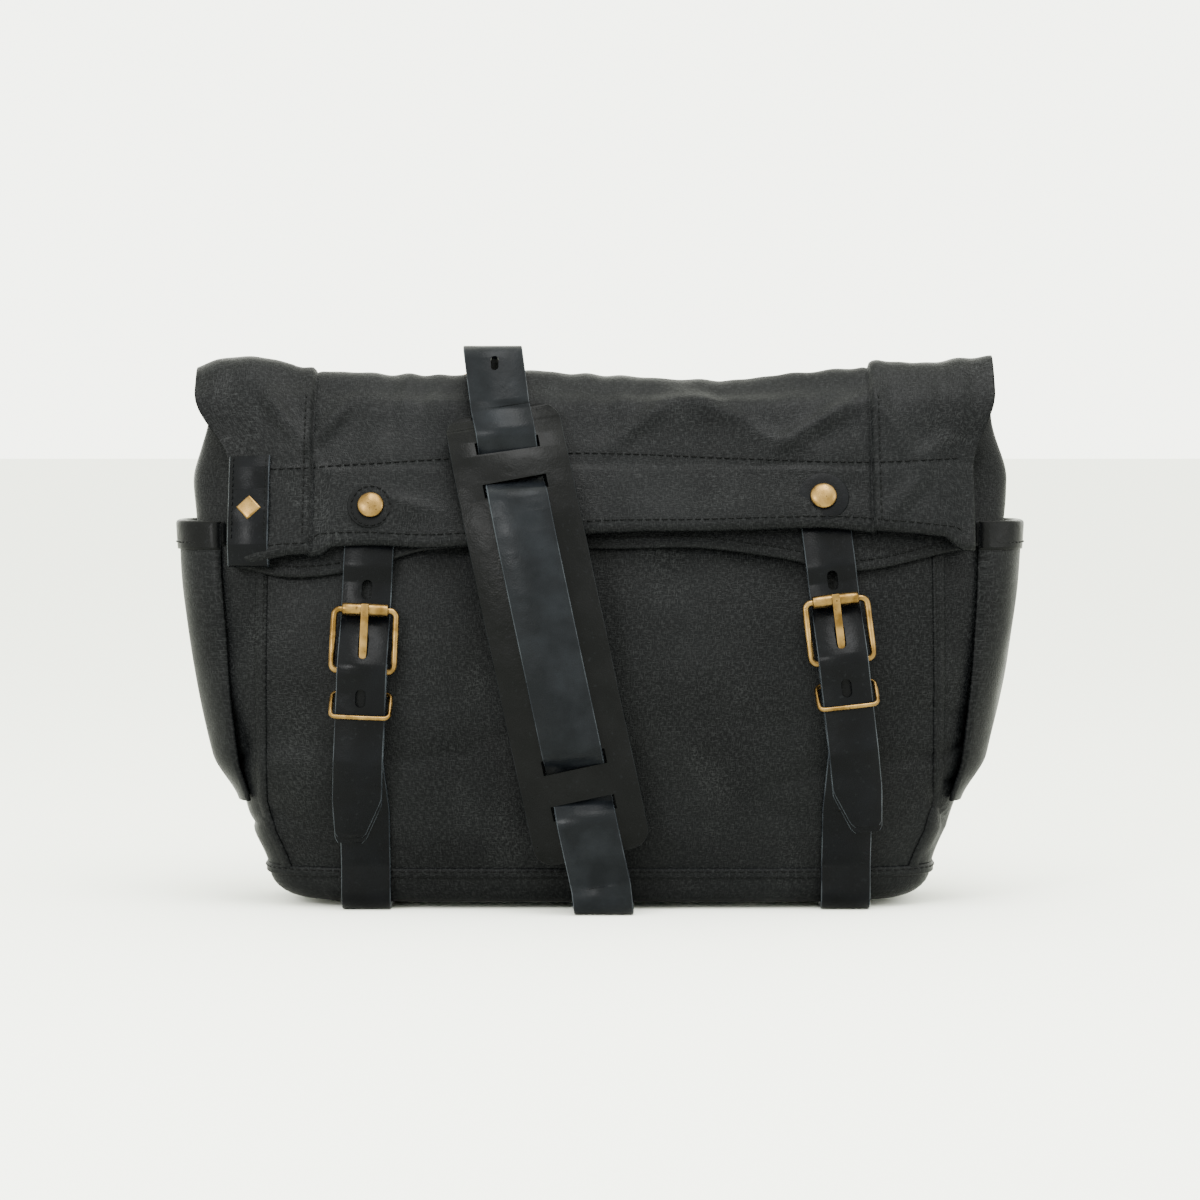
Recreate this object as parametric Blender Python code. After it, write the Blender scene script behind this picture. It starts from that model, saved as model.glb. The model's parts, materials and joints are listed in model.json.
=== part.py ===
"""Fold-over messenger bag: waxed canvas body, leather straps and pad, roller buckles and press-studs.

Metres, +Z up. The front of the bag faces -Y, "left" and "right" are as seen from the front.
"""
import math

import bmesh
import bpy
import numpy as np
from mathutils import Matrix, Vector

# ---- Overall sizes -------------------------------------------------------------------------
BAG_WIDTH = 0.422           # canvas body, side pockets not counted
BAG_HEIGHT = 0.273          # floor to the top of the folded ridge
BAG_DEPTH = 0.118           # front to back where the bag is fullest

# Shape of the canvas tube: level, front bulge, back bulge and half width, as shares of the
# overall height, depth and half width
BODY_ROWS = (
    (0.066, 0.449, 0.415, 0.810),
    (0.147, 0.508, 0.449, 0.853),
    (0.293, 0.542, 0.458, 0.910),
    (0.440, 0.521, 0.453, 0.948),
    (0.586, 0.453, 0.415, 0.976),
    (0.733, 0.339, 0.322, 0.991),
    (0.861, 0.203, 0.212, 0.998),
    (0.960, 0.076, 0.085, 1.000),
)
CORNER_POWER = 4.5          # squareness of the body seen from above
BASE_SEAM_SHARE = 0.066     # level of the seam between base and walls
BASE_FLAT_SHARE = 0.88      # part of the base that lies flat

# ---- Sheet materials and clearances --------------------------------------------------------
CANVAS = 0.0020
HEM = 0.0022                # doubled, stitched canvas edge
POCKET_CLOTH = 0.0018
BINDING = 0.0010
GAP = 0.0003                # between pieces that touch
SEAM_GAP = 0.0008           # gusset short of the panels' seams, for the turn of the wall
HEM_LIFT = 0.0008           # hem ahead of the front panel
BILLET_LIFT = 0.0012        # slanting billet clear of the curved hem
BILLET_CLEAR = 0.0006       # slanting billet clear of the curved front, behind the roller
SLIDE_GAP = 0.0005          # around pieces that slide
EDGE = 0.0003               # rounding of a cut leather edge

# ---- Closure straps ------------------------------------------------------------------------
CLOSURE_WIDTH = 0.025
CLOSURE_THICK = 0.0025
LEFT_BAR_X = -0.1193
RIGHT_BAR_X = 0.1220
LEFT_FOOT_X = -0.1185
RIGHT_FOOT_X = 0.1245
LEFT_BAR_SHARE = 0.447      # buckle bar's level as a share of the height
RIGHT_BAR_SHARE = 0.465
LEFT_TILT = math.radians(2.5)
RIGHT_TILT = math.radians(-6.5)
BILLET_ABOVE = 0.098        # billet above the buckle bar
BILLET_BELOW = 0.084        # free tail below the bar
FOLD_BELOW = 0.087          # folded-back end of the lower strap
STUD_ABOVE = 0.082          # press-stud above the bar
BACK_ANCHOR_Z = 0.050       # top end of a closure strap on the back

# ---- Buckles and keepers -------------------------------------------------------------------
BUCKLE_WIRE = 0.0018        # wire radius
BUCKLE_CLEAR = 0.0064       # frame centreline wider than its strap
BUCKLE_RISE = 0.031         # bar to roller
BUCKLE_CORNER = 0.0035
ROLLER_RADIUS = 0.0034
ROLLER_BORE = 0.0022
ROLLER_SHORT = 0.0015       # roller shorter than its strap is wide
TONGUE_WIDTH = 0.0040
TONGUE_THICK = 0.0018
KEEPER_WIRE = 0.00125
KEEPER_CLEAR = 0.00105      # keeper wire clear of the strap at each side
KEEPER_HALF = CLOSURE_WIDTH / 2 + KEEPER_CLEAR + KEEPER_WIRE
KEEPER_CORNER = 0.0030
KEEPER_REAR_DROP = 0.011    # rear bar below the buckle bar
KEEPER_FRONT_DROP = 0.023

# ---- Shoulder strap and pad ----------------------------------------------------------------
SHOULDER_WIDTH = 0.030
SHOULDER_THICK = 0.0030
PAD_WIDTH = 0.059
PAD_THICK = 0.0030
PAD_CORNER = 0.010
PAD_SLOTS = (0.021, 0.044, 0.184, 0.207)     # from the pad's top end
SLOT_WIDTH = 0.0325
SLOT_LENGTH = 0.0126
STRAP_TOP_X = -0.055
STRAP_FOOT_X = 0.002
HINGE_OUT = 0.075           # strap's outer face ahead of the bag's middle, at the floor
HINGE_Z = 0.008
RIDGE_CLEAR = 0.007         # strap above the canvas ridge
REAR_BUCKLE_ANGLE = math.radians(27.0)
TAIL_ANGLE = math.radians(34.0)
ANCHOR_X = 0.058
SHORT_STRAP_FOOT = 0.112

# ---- Flap ----------------------------------------------------------------------------------
FLAP_STANDOFF = 0.0128      # flap's outer face ahead of the front panel
FLAP_AXIS_Y = 0.010
FLAP_AXIS_DROP = 0.011      # flap's turning line below the ridge
FLAP_LIP_SHARE = 0.685
HEM_LIP_SHARE = 0.652
HEM_TOP_SHARE = 0.860
BAND_LEFT_X = -0.147        # seams of the side bands
BAND_RIGHT_X = 0.139
CAP_RADIUS = 0.007
CAP_HEIGHT = 0.0030
RING_RADIUS = 0.012
WASHER_RADIUS = 0.013
WASHER_THICK = 0.0014
LABEL_X = -0.1775
LABEL_WIDTH = 0.021
LABEL_THICK = 0.0018
EMBLEM_HALF = 0.0065
EMBLEM_THICK = 0.0012

# ---- Side pockets --------------------------------------------------------------------------
POCKET_LOW_SHARE = 0.200
POCKET_TOP_SHARE = 0.715
POCKET_REACH = 0.80         # share of the gusset a pocket covers
POCKET_OUT = 0.0122
POCKET_EDGE_OUT = 0.0064
BINDING_DEPTH = 0.013
BINDING_GAP = 0.000462 * BAG_WIDTH / BAG_DEPTH  # clear of the pocket cloth, which bends harder on a wide or thin bag

RIVET_HEAD = 0.0045
RIVET_SHANK = 0.0016

# Colour, roughness and metallic value
BLACK_CANVAS = ((0.030, 0.032, 0.031), 0.85, 0.0)
STRAP_LEATHER = ((0.014, 0.015, 0.018), 0.42, 0.0)
PAD_LEATHER = ((0.022, 0.020, 0.019), 0.50, 0.0)
ANTIQUE_BRASS = ((0.420, 0.300, 0.150), 0.35, 1.0)

for old in list(bpy.data.objects):
    bpy.data.objects.remove(old, do_unlink=True)


# ---- Mesh helpers --------------------------------------------------------------------------
def face_outward(mesh_build):
    mesh_build.normal_update()
    bmesh.ops.recalc_face_normals(mesh_build, faces=mesh_build.faces)
    if mesh_build.calc_volume(signed=True) < 0:
        bmesh.ops.reverse_faces(mesh_build, faces=mesh_build.faces)


def make_object(name, mesh_build, look, pivot=None, parent=None):
    """Turn a filled bmesh into a named object whose origin is its pivot, or its own middle."""
    face_outward(mesh_build)
    mesh = bpy.data.meshes.new(name)
    mesh_build.to_mesh(mesh)
    mesh_build.free()
    corners = np.array([tuple(vertex.co) for vertex in mesh.vertices])
    middle = Vector((corners.min(axis=0) + corners.max(axis=0)) / 2)
    origin = pivot if pivot is not None else middle
    mesh.transform(Matrix.Translation(-origin))
    mesh.shade_smooth()
    mesh.set_sharp_from_angle(angle=math.radians(30))
    item = bpy.data.objects.new(name, mesh)
    bpy.context.scene.collection.objects.link(item)
    item.location = origin
    if parent is not None:
        item.parent = parent
        item.location = origin - parent.location
    colour, roughness, metallic = look
    material = bpy.data.materials.new(name)
    material.use_nodes = True
    shader = material.node_tree.nodes["Principled BSDF"]
    shader.inputs["Base Color"].default_value = (*colour, 1.0)
    shader.inputs["Roughness"].default_value = roughness
    shader.inputs["Metallic"].default_value = metallic
    mesh.materials.append(material)
    return item


def make_pivot(name, place):
    """Empty on a joint's axis, parent of the pieces that turn about it."""
    pivot = bpy.data.objects.new(name, None)
    pivot.empty_display_size = 0.01
    bpy.context.scene.collection.objects.link(pivot)
    pivot.location = place
    return pivot


def cut(item, cutter_mesh, name):
    """Take a hidden cutter's volume out of a piece."""
    face_outward(cutter_mesh)
    mesh = bpy.data.meshes.new(name)
    cutter_mesh.to_mesh(mesh)
    cutter_mesh.free()
    cutter = bpy.data.objects.new(name, mesh)
    bpy.context.scene.collection.objects.link(cutter)
    cutter.hide_render = True
    cutter.display_type = "WIRE"
    modifier = item.modifiers.new(name, "BOOLEAN")
    modifier.operation = "DIFFERENCE"
    modifier.solver = "EXACT"
    modifier.object = cutter
    return cutter


def curve_through(levels, values):
    """Smooth curve through a few rows of shape values."""
    slopes = np.gradient(np.array(values), np.array(levels))

    def value(level):
        row = int(np.clip(np.searchsorted(levels, level) - 1, 0, len(levels) - 2))
        span = levels[row + 1] - levels[row]
        part = (level - levels[row]) / span
        rise = values[row + 1] - values[row]
        if part < 0.0:
            return values[row] + slopes[row] * part * span
        if part > 1.0:
            return values[row + 1] + slopes[row + 1] * (part - 1.0) * span
        ease = part * part * (3.0 - 2.0 * part)
        lead = part * (1.0 - part) ** 2 * slopes[row] * span
        trail = part * part * (part - 1.0) * slopes[row + 1] * span
        return values[row] + ease * rise + lead + trail

    return value


def rounded_path(points, radius, steps=5):
    """Polyline with its corners turned into arcs of the given radius."""
    path = [points[0]]
    for before, corner, after in zip(points, points[1:], points[2:]):
        arriving = (corner - before).normalized()
        leaving = (after - corner).normalized()
        turn = arriving.angle(leaving)
        reach = radius * math.tan(turn / 2)
        reach = min(reach, 0.45 * (corner - before).length, 0.45 * (after - corner).length)
        if turn < math.radians(4):
            path.append(corner)
            continue
        bend = reach / math.tan(turn / 2)
        start = corner - arriving * reach
        inward = (leaving - arriving * leaving.dot(arriving)).normalized()
        for step in range(steps + 1):
            angle = turn * step / steps
            path.append(start + arriving * bend * math.sin(angle) + inward * bend * (1 - math.cos(angle)))
    path.append(points[-1])
    return path


def directions(path):
    """Unit tangent and mitre stretch at each point of a path."""
    result = []
    for index, point in enumerate(path):
        before = path[max(index - 1, 0)]
        after = path[min(index + 1, len(path) - 1)]
        first = (point - before).normalized() if index else (after - point).normalized()
        last = (after - point).normalized() if index < len(path) - 1 else first
        tangent = (first + last).normalized()
        result.append((tangent, 1.0 / max(tangent.dot(last), 0.5)))
    return result


def ribbon(path, width, thick, across, halves=None):
    """Flat strap along a path, its width lying as near as it can to the given direction."""
    build = bmesh.new()
    rings = []
    for index, (point, (tangent, stretch)) in enumerate(zip(path, directions(path))):
        hint = across[index] if isinstance(across, list) else across
        side = (hint - tangent * hint.dot(tangent)).normalized()
        face = side.cross(tangent)
        low, high = halves[index] if halves else (width / 2, width / 2)
        half_thick = thick / 2 * stretch
        ring = []
        for span, lift in (
            (-low, EDGE - half_thick), (EDGE - low, -half_thick), (high - EDGE, -half_thick),
            (high, EDGE - half_thick), (high, half_thick - EDGE), (high - EDGE, half_thick),
            (EDGE - low, half_thick), (-low, half_thick - EDGE),
        ):
            ring.append(build.verts.new(point + side * span + face * lift))
        rings.append(ring)
    for ring, following in zip(rings, rings[1:]):
        for corner in range(8):
            turn = (corner + 1) % 8
            build.faces.new((ring[corner], ring[turn], following[turn], following[corner]))
    build.faces.new(rings[0])
    build.faces.new(rings[-1])
    return build


def slab(surface, columns, rows, thick, inward):
    """Closed sheet of even thickness under a surface; inward tells which side the thickness is on."""
    outer = [[Vector(surface(column, row)) for row in rows] for column in columns]
    wide, tall = len(columns), len(rows)
    build = bmesh.new()
    tops = []
    bottoms = []
    for i in range(wide):
        tops.append([])
        bottoms.append([])
        for j in range(tall):
            along = outer[min(i + 1, wide - 1)][j] - outer[max(i - 1, 0)][j]
            up = outer[i][min(j + 1, tall - 1)] - outer[i][max(j - 1, 0)]
            normal = along.cross(up).normalized()
            if normal.dot(inward(outer[i][j])) < 0:
                normal = -normal
            tops[i].append(build.verts.new(outer[i][j]))
            bottoms[i].append(build.verts.new(outer[i][j] + normal * thick))
    for i in range(wide - 1):
        for j in range(tall - 1):
            build.faces.new((tops[i][j], tops[i + 1][j], tops[i + 1][j + 1], tops[i][j + 1]))
            build.faces.new((bottoms[i][j], bottoms[i][j + 1], bottoms[i + 1][j + 1], bottoms[i + 1][j]))
    rim = [(i, 0) for i in range(wide)] + [(wide - 1, j) for j in range(1, tall)]
    rim += [(i, tall - 1) for i in range(wide - 2, -1, -1)] + [(0, j) for j in range(tall - 2, 0, -1)]
    for (i, j), (k, m) in zip(rim, rim[1:] + rim[:1]):
        build.faces.new((tops[i][j], tops[k][m], bottoms[k][m], bottoms[i][j]))
    return build


def lathe(profile, place, segments=20, hollow=False):
    """Turned piece about the local Z axis; a hollow one has a closed profile clear of the axis."""
    build = bmesh.new()
    rings = []
    for radius, height in profile:
        if radius < 1e-7:
            rings.append([build.verts.new(place @ Vector((0.0, 0.0, height)))])
            continue
        ring = []
        for step in range(segments):
            angle = 2 * math.pi * step / segments
            spot = Vector((radius * math.cos(angle), radius * math.sin(angle), height))
            ring.append(build.verts.new(place @ spot))
        rings.append(ring)
    pairs = list(zip(rings, rings[1:]))
    if hollow:
        pairs.append((rings[-1], rings[0]))
    for low, high in pairs:
        for step in range(segments):
            turn = (step + 1) % segments
            if len(low) == 1:
                build.faces.new((low[0], high[turn], high[step]))
            elif len(high) == 1:
                build.faces.new((low[step], low[turn], high[0]))
            else:
                build.faces.new((low[step], low[turn], high[turn], high[step]))
    return build


def wire_loop(corners, corner_radius, wire_radius, sides=10):
    """Closed loop of round wire through four corners, with rounded bends."""
    start = (corners[0] + corners[-1]) / 2
    path = rounded_path([start] + corners + [start], corner_radius, steps=4)[:-1]
    normal = (corners[1] - corners[0]).cross(corners[2] - corners[1]).normalized()
    build = bmesh.new()
    rings = []
    count = len(path)
    for index, point in enumerate(path):
        arriving = (point - path[index - 1]).normalized()
        leaving = (path[(index + 1) % count] - point).normalized()
        tangent = (arriving + leaving).normalized()
        stretch = 1.0 / tangent.dot(leaving)
        outward = tangent.cross(normal).normalized()
        ring = []
        for step in range(sides):
            angle = 2 * math.pi * (step + 0.5) / sides
            sideways = outward * math.cos(angle) * wire_radius * stretch
            ring.append(build.verts.new(point + sideways + normal * math.sin(angle) * wire_radius))
        rings.append(ring)
    for ring, following in zip(rings, rings[1:] + rings[:1]):
        for step in range(sides):
            turn = (step + 1) % sides
            build.faces.new((ring[step], ring[turn], following[turn], following[step]))
    return build


def box_mesh(place, low, high):
    """Box between two local corners, put in place by a matrix."""
    build = bmesh.new()
    bmesh.ops.create_cube(build, size=1.0)
    middle = (Vector(low) + Vector(high)) / 2
    span = Vector(high) - Vector(low)
    for vertex in build.verts:
        scaled = Vector((vertex.co.x * span.x, vertex.co.y * span.y, vertex.co.z * span.z))
        vertex.co = place @ (scaled + middle)
    return build


def facing(place, outward, up=Vector((0.0, 0.0, 1.0))):
    """Frame at a place whose local Z points outward."""
    axis = outward.normalized()
    side = up.cross(axis).normalized()
    frame = Matrix((side, axis.cross(side), axis)).transposed().to_4x4()
    frame.translation = place
    return frame


# ---- Shape of the canvas body --------------------------------------------------------------
LEVELS = [row[0] * BAG_HEIGHT for row in BODY_ROWS]
front_bulge = curve_through(LEVELS, [row[1] * BAG_DEPTH for row in BODY_ROWS])
back_bulge = curve_through(LEVELS, [row[2] * BAG_DEPTH for row in BODY_ROWS])
half_width = curve_through(LEVELS, [row[3] * BAG_WIDTH / 2 for row in BODY_ROWS])

BASE_SEAM_Z = BASE_SEAM_SHARE * BAG_HEIGHT
BASE_Z = SHOULDER_THICK + GAP
FLAP_AXIS_Z = BAG_HEIGHT - FLAP_AXIS_DROP
WALL_TOP = FLAP_AXIS_Z - 0.006
FRONT_TOP = FLAP_AXIS_Z - 0.004
FLAP_LIP_Z = FLAP_LIP_SHARE * BAG_HEIGHT
HEM_LIP_Z = HEM_LIP_SHARE * BAG_HEIGHT
HEM_TOP_Z = HEM_TOP_SHARE * BAG_HEIGHT


def crown(x, z):
    """How much of the bulge is left at a distance from the middle."""
    share = min(abs(x) / half_width(z), 0.9999)
    return (1 - share ** CORNER_POWER) ** (1 / CORNER_POWER)


def front_y(x, z):
    return -front_bulge(z) * crown(x, z)


def back_y(x, z):
    return back_bulge(z) * crown(x, z)


def strap_y(surface_y, x, z):
    """Surface under the inner edge of a closure strap, where the canvas stands furthest out."""
    return surface_y(max(abs(x) - CLOSURE_WIDTH / 2 - 0.001, 0.0), z)


def seam_x(z):
    """Seam between a front or back panel and the gusset."""
    return min(0.815 * BAG_WIDTH / 2, 0.93 * half_width(z))


def gusset_x(y, z):
    bulge = front_bulge(z) if y < 0 else back_bulge(z)
    return half_width(z) * (1 - (abs(y) / bulge) ** CORNER_POWER) ** (1 / CORNER_POWER)


def spaced(start, end, count):
    return [start + (end - start) * step / (count - 1) for step in range(count)]


def to_middle(point):
    return Vector((0.0, 0.0, BAG_HEIGHT / 2)) - point


def surface_normal(surface_y, x, z):
    """Outward normal of the front or back surface."""
    step = 0.001
    along = Vector((2 * step, surface_y(x + step, z) - surface_y(x - step, z), 0.0))
    up = Vector((0.0, surface_y(x, z + step) - surface_y(x, z - step), 2 * step))
    normal = along.cross(up).normalized()
    return normal if normal.y * surface_y(x, z) > 0 else -normal


# ---- Body panels ---------------------------------------------------------------------------
across_panel = spaced(-1.0, 1.0, 25)
front_panel = make_object(
    "front_panel",
    slab(lambda u, z: ((seam_x(z) - GAP) * u, front_y((seam_x(z) - GAP) * u, z), z),
         across_panel, spaced(BASE_SEAM_Z + GAP, FRONT_TOP, 15), CANVAS, to_middle),
    BLACK_CANVAS)
back_panel = make_object(
    "back_panel",
    slab(lambda u, z: ((seam_x(z) - GAP) * u, back_y((seam_x(z) - GAP) * u, z), z),
         across_panel, spaced(BASE_SEAM_Z + GAP, WALL_TOP, 15), CANVAS, to_middle),
    BLACK_CANVAS)


def gusset_point(side, t, z, out=0.0):
    """Point of a side gusset, from its front seam (t = -1) to its back seam (t = 1)."""
    seam = seam_x(z) + SEAM_GAP
    edge = front_y(seam, z) if t < 0 else back_y(seam, z)
    y = abs(t) * edge
    return (side * (gusset_x(y, z) + out), y, z)


for side, word in ((-1, "left"), (1, "right")):
    make_object(
        "gusset_" + word,
        slab(lambda t, z, side=side: gusset_point(side, t, z),
             spaced(-1.0, 1.0, 13), spaced(BASE_SEAM_Z + GAP, WALL_TOP, 15), CANVAS, to_middle),
        BLACK_CANVAS)


BASE_SIDES = 48


def base_ring(share, z, inset):
    ring = []
    for step in range(BASE_SIDES):
        angle = 2 * math.pi * step / BASE_SIDES
        cosine, sine = math.cos(angle), math.sin(angle)
        x = math.copysign(abs(cosine) ** (2 / CORNER_POWER), cosine)
        y = math.copysign(abs(sine) ** (2 / CORNER_POWER), sine)
        deep = front_bulge(BASE_SEAM_Z) if y < 0 else back_bulge(BASE_SEAM_Z)
        ring.append(Vector((x * (half_width(BASE_SEAM_Z) * share - inset), y * (deep * share - inset), z)))
    return ring


def base_tray():
    """Base panel with its edge turned up to the seam."""
    build = bmesh.new()
    layers = []
    for inset in (0.0, CANVAS):
        layer = []
        for step in range(5):
            angle = math.pi / 2 * step / 4
            share = BASE_FLAT_SHARE + (1 - BASE_FLAT_SHARE) * math.cos(angle)
            floor_level = BASE_Z + inset
            level = BASE_SEAM_Z - (BASE_SEAM_Z - floor_level) * math.sin(angle)
            layer.append([build.verts.new(point) for point in base_ring(share, level, inset)])
        layers.append(layer)
    for layer in layers:
        for ring, following in zip(layer, layer[1:]):
            for step in range(BASE_SIDES):
                turn = (step + 1) % BASE_SIDES
                build.faces.new((ring[step], ring[turn], following[turn], following[step]))
        build.faces.new(layer[-1])
    for step in range(BASE_SIDES):
        turn = (step + 1) % BASE_SIDES
        build.faces.new((layers[0][0][step], layers[0][0][turn], layers[1][0][turn], layers[1][0][step]))
    return build


base_panel = make_object("base_panel", base_tray(), BLACK_CANVAS)

HEM_HALF = 0.88 * BAG_WIDTH / 2
# Inner hem of the mouth, folded down over the front and hidden by the flap above its lip
front_hem = make_object(
    "front_hem",
    slab(lambda u, z: (HEM_HALF * u, front_y(HEM_HALF * u, z) - HEM_LIFT - HEM, z),
         spaced(-1.0, 1.0, 21), spaced(HEM_LIP_Z, HEM_TOP_Z, 6), HEM, to_middle),
    BLACK_CANVAS)

# ---- Side pockets with a leather binding on the mouth --------------------------------------
POCKET_LOW_Z = POCKET_LOW_SHARE * BAG_HEIGHT
POCKET_TOP_Z = POCKET_TOP_SHARE * BAG_HEIGHT


def pocket_out(t, z):
    """Outer face of a pocket beyond the gusset."""
    closed = POCKET_CLOTH + SEAM_GAP
    open_part = min((z - POCKET_LOW_Z) / 0.022, 1.0)
    open_part = open_part * open_part * (3 - 2 * open_part)
    full = POCKET_EDGE_OUT + (POCKET_OUT - POCKET_EDGE_OUT) * (1 - t ** 2)
    return closed + (full - closed) * open_part


def binding_path():
    """Cross-section of the binding: distance beyond the pocket's outer face, and height above its edge."""
    outer_leg = BINDING + BINDING_GAP
    inner_leg = POCKET_CLOTH + 1.6 * BINDING_GAP + BINDING
    return ((outer_leg, -BINDING_DEPTH), (outer_leg, -BINDING_DEPTH / 2), (outer_leg, 0.0),
            (outer_leg - 0.0004, 0.0008), (outer_leg - 0.0012, 0.0014), (-inner_leg + 0.0012, 0.0014),
            (-inner_leg + 0.0004, 0.0008), (-inner_leg, 0.0), (-inner_leg, -BINDING_DEPTH / 2),
            (-inner_leg, -BINDING_DEPTH + 0.002))


for side, word in ((-1, "left"), (1, "right")):
    make_object(
        "side_pocket_" + word,
        slab(lambda t, z, side=side: gusset_point(side, t, z, pocket_out(t, z)),
             spaced(-POCKET_REACH, POCKET_REACH, 11), spaced(POCKET_LOW_Z, POCKET_TOP_Z, 10), POCKET_CLOTH,
             lambda point: Vector((-point.x, 0.0, 0.0))),
        BLACK_CANVAS)
    legs = binding_path()

    def binding_point(t, leg, side=side, legs=legs):
        out, rise = legs[leg]
        z = POCKET_TOP_Z + rise
        return gusset_point(side, t, z, pocket_out(t, z) + out)

    def binding_inward(point, side=side):
        edge = front_y(seam_x(point.z) + SEAM_GAP, point.z)
        if point.y > 0:
            edge = back_y(seam_x(point.z) + SEAM_GAP, point.z)
        out = pocket_out(point.y / edge, point.z) - POCKET_CLOTH / 2
        target = Vector((side * (gusset_x(point.y, point.z) + out), point.y, min(point.z, POCKET_TOP_Z - 0.001)))
        return target - point

    make_object(
        "pocket_binding_" + word,
        slab(binding_point, spaced(-POCKET_REACH, POCKET_REACH, 11), list(range(len(legs))), BINDING, binding_inward),
        STRAP_LEATHER)

# ---- Flap: ridge, front fall and side bands turn together about the back of the ridge ---------
FLAP_AXIS = Vector((0.0, FLAP_AXIS_Y, FLAP_AXIS_Z))
flap_pivot = make_pivot("flap_pivot", FLAP_AXIS)
RIDGE_SECTION = (
    (0.0142, -0.0125, 0.0), (0.0135, -0.0080, 0.0), (0.0080, -0.0025, 0.0), (0.0000, 0.0, 0.0),
    (-0.0090, -0.0020, 0.1), (-0.0180, -0.0110, 0.5),
)                           # distance behind the middle, height over the ridge, share of the crown
FALL_TOP_DROP = 0.027


def flap_section():
    section = [(y, BAG_HEIGHT + rise, share) for y, rise, share in RIDGE_SECTION]
    for z in spaced(BAG_HEIGHT - FALL_TOP_DROP, FLAP_LIP_Z, 9):
        section.append((-front_bulge(z) - FLAP_STANDOFF, z, 1.0))
    return section


SECTION = flap_section()


def flap_half(z):
    """The flap is widest along the ridge and pulls in towards its lip."""
    drop = (BAG_HEIGHT - z) / BAG_HEIGHT
    pulled = min(max((drop - 0.05) / 0.12, 0.0), 1.0)
    return BAG_WIDTH / 2 * (0.985 - 0.092 * pulled * pulled * (3 - 2 * pulled))


def flap_point(x, row):
    y, z, share = SECTION[row]
    level = min(z, 0.96 * BAG_HEIGHT)
    return (x, y + share * front_bulge(level) * (1 - crown(x, level)), z)


def flap_inward(point):
    return Vector((0.0, 0.004, 0.90 * BAG_HEIGHT if point.z > 0.92 * BAG_HEIGHT else point.z - 0.02)) - point


def flap_piece(name, low, high, count):
    """Part of the flap between two seams; a seam of None is the flap's own edge."""
    def point(u, row):
        edge = flap_half(SECTION[row][1])
        left = -edge if low is None else low + GAP / 2
        right = edge if high is None else high - GAP / 2
        return flap_point(left + (right - left) * u, row)

    build = slab(point, spaced(0.0, 1.0, count), list(range(len(SECTION))), CANVAS,
                 lambda spot: Vector((0.0, flap_inward(spot).y, flap_inward(spot).z)))
    return make_object(name, build, BLACK_CANVAS, FLAP_AXIS, flap_pivot)


flap_left = flap_piece("flap_band_left", None, BAND_LEFT_X, 5)
flap_panel = flap_piece("flap_panel", BAND_LEFT_X, BAND_RIGHT_X, 18)
flap_right = flap_piece("flap_band_right", BAND_RIGHT_X, None, 5)


def flap_y(x, z):
    return front_y(x, z) - FLAP_STANDOFF


# Leather label folded round the lip of the left band, with a plain diamond plate
LABEL_TOP_Z = 0.842 * BAG_HEIGHT
label_lift = SEAM_GAP + LABEL_THICK / 2
label_path = [Vector((LABEL_X, flap_y(LABEL_X, z) - label_lift, z)) for z in spaced(LABEL_TOP_Z, FLAP_LIP_Z, 7)]
below = FLAP_LIP_Z - 0.0030
label_path.append(Vector((LABEL_X, flap_y(LABEL_X, FLAP_LIP_Z) - label_lift + 0.0006, below)))
behind = CANVAS + SEAM_GAP + LABEL_THICK / 2 + 0.0004
label_path.append(Vector((LABEL_X, flap_y(LABEL_X, FLAP_LIP_Z) + behind, below)))
for z in (FLAP_LIP_Z + 0.002, FLAP_LIP_Z + 0.010, FLAP_LIP_Z + 0.018):
    label_path.append(Vector((LABEL_X, flap_y(LABEL_X, z) + behind, z)))
label_path = rounded_path(label_path, 0.0012, 3)
label_across = []
for point in label_path:
    level = max(point.z, FLAP_LIP_Z)
    slant = (front_y(LABEL_X + 0.009, level) - front_y(LABEL_X - 0.009, level)) / 0.018
    label_across.append(Vector((1.0, slant, 0.0)))
make_object(
    "label_loop", ribbon(label_path, LABEL_WIDTH, LABEL_THICK, label_across),
    STRAP_LEATHER, FLAP_AXIS, flap_pivot)
emblem_z = 0.748 * BAG_HEIGHT
emblem_normal = surface_normal(front_y, LABEL_X, emblem_z)
emblem_spot = Vector((LABEL_X, flap_y(LABEL_X, emblem_z) - label_lift - LABEL_THICK / 2 - 3 * GAP, emblem_z))
make_object(
    "label_plate",
    lathe(((0.0, 0.0), (EMBLEM_HALF, 0.0), (EMBLEM_HALF, EMBLEM_THICK * 0.6),
           (EMBLEM_HALF * 0.86, EMBLEM_THICK), (0.0, EMBLEM_THICK)), facing(emblem_spot, emblem_normal), 4),
    ANTIQUE_BRASS, FLAP_AXIS, flap_pivot)


# ---- Closures: lower strap, buckle, keeper, billet and press-stud -----------------------------
KEEPER_REAR_IN = GAP + KEEPER_WIRE                        # depths outward from the canvas
LAYER_STEP = CLOSURE_THICK + GAP
LAYER_ONE = KEEPER_REAR_IN + KEEPER_WIRE + SLIDE_GAP + CLOSURE_THICK / 2
LAYER_TWO = LAYER_ONE + LAYER_STEP
LAYER_THREE = LAYER_TWO + LAYER_STEP
KEEPER_FRONT_OUT = LAYER_THREE + CLOSURE_THICK / 2 + SLIDE_GAP + KEEPER_WIRE
SNUG = GAP + CLOSURE_THICK / 2
BILLET_SNUG = SNUG + BILLET_CLEAR
BAR_OUT = (LAYER_ONE + LAYER_TWO) / 2
ZONE_LOW = -0.046
TANGENT_AT = -0.022


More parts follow.
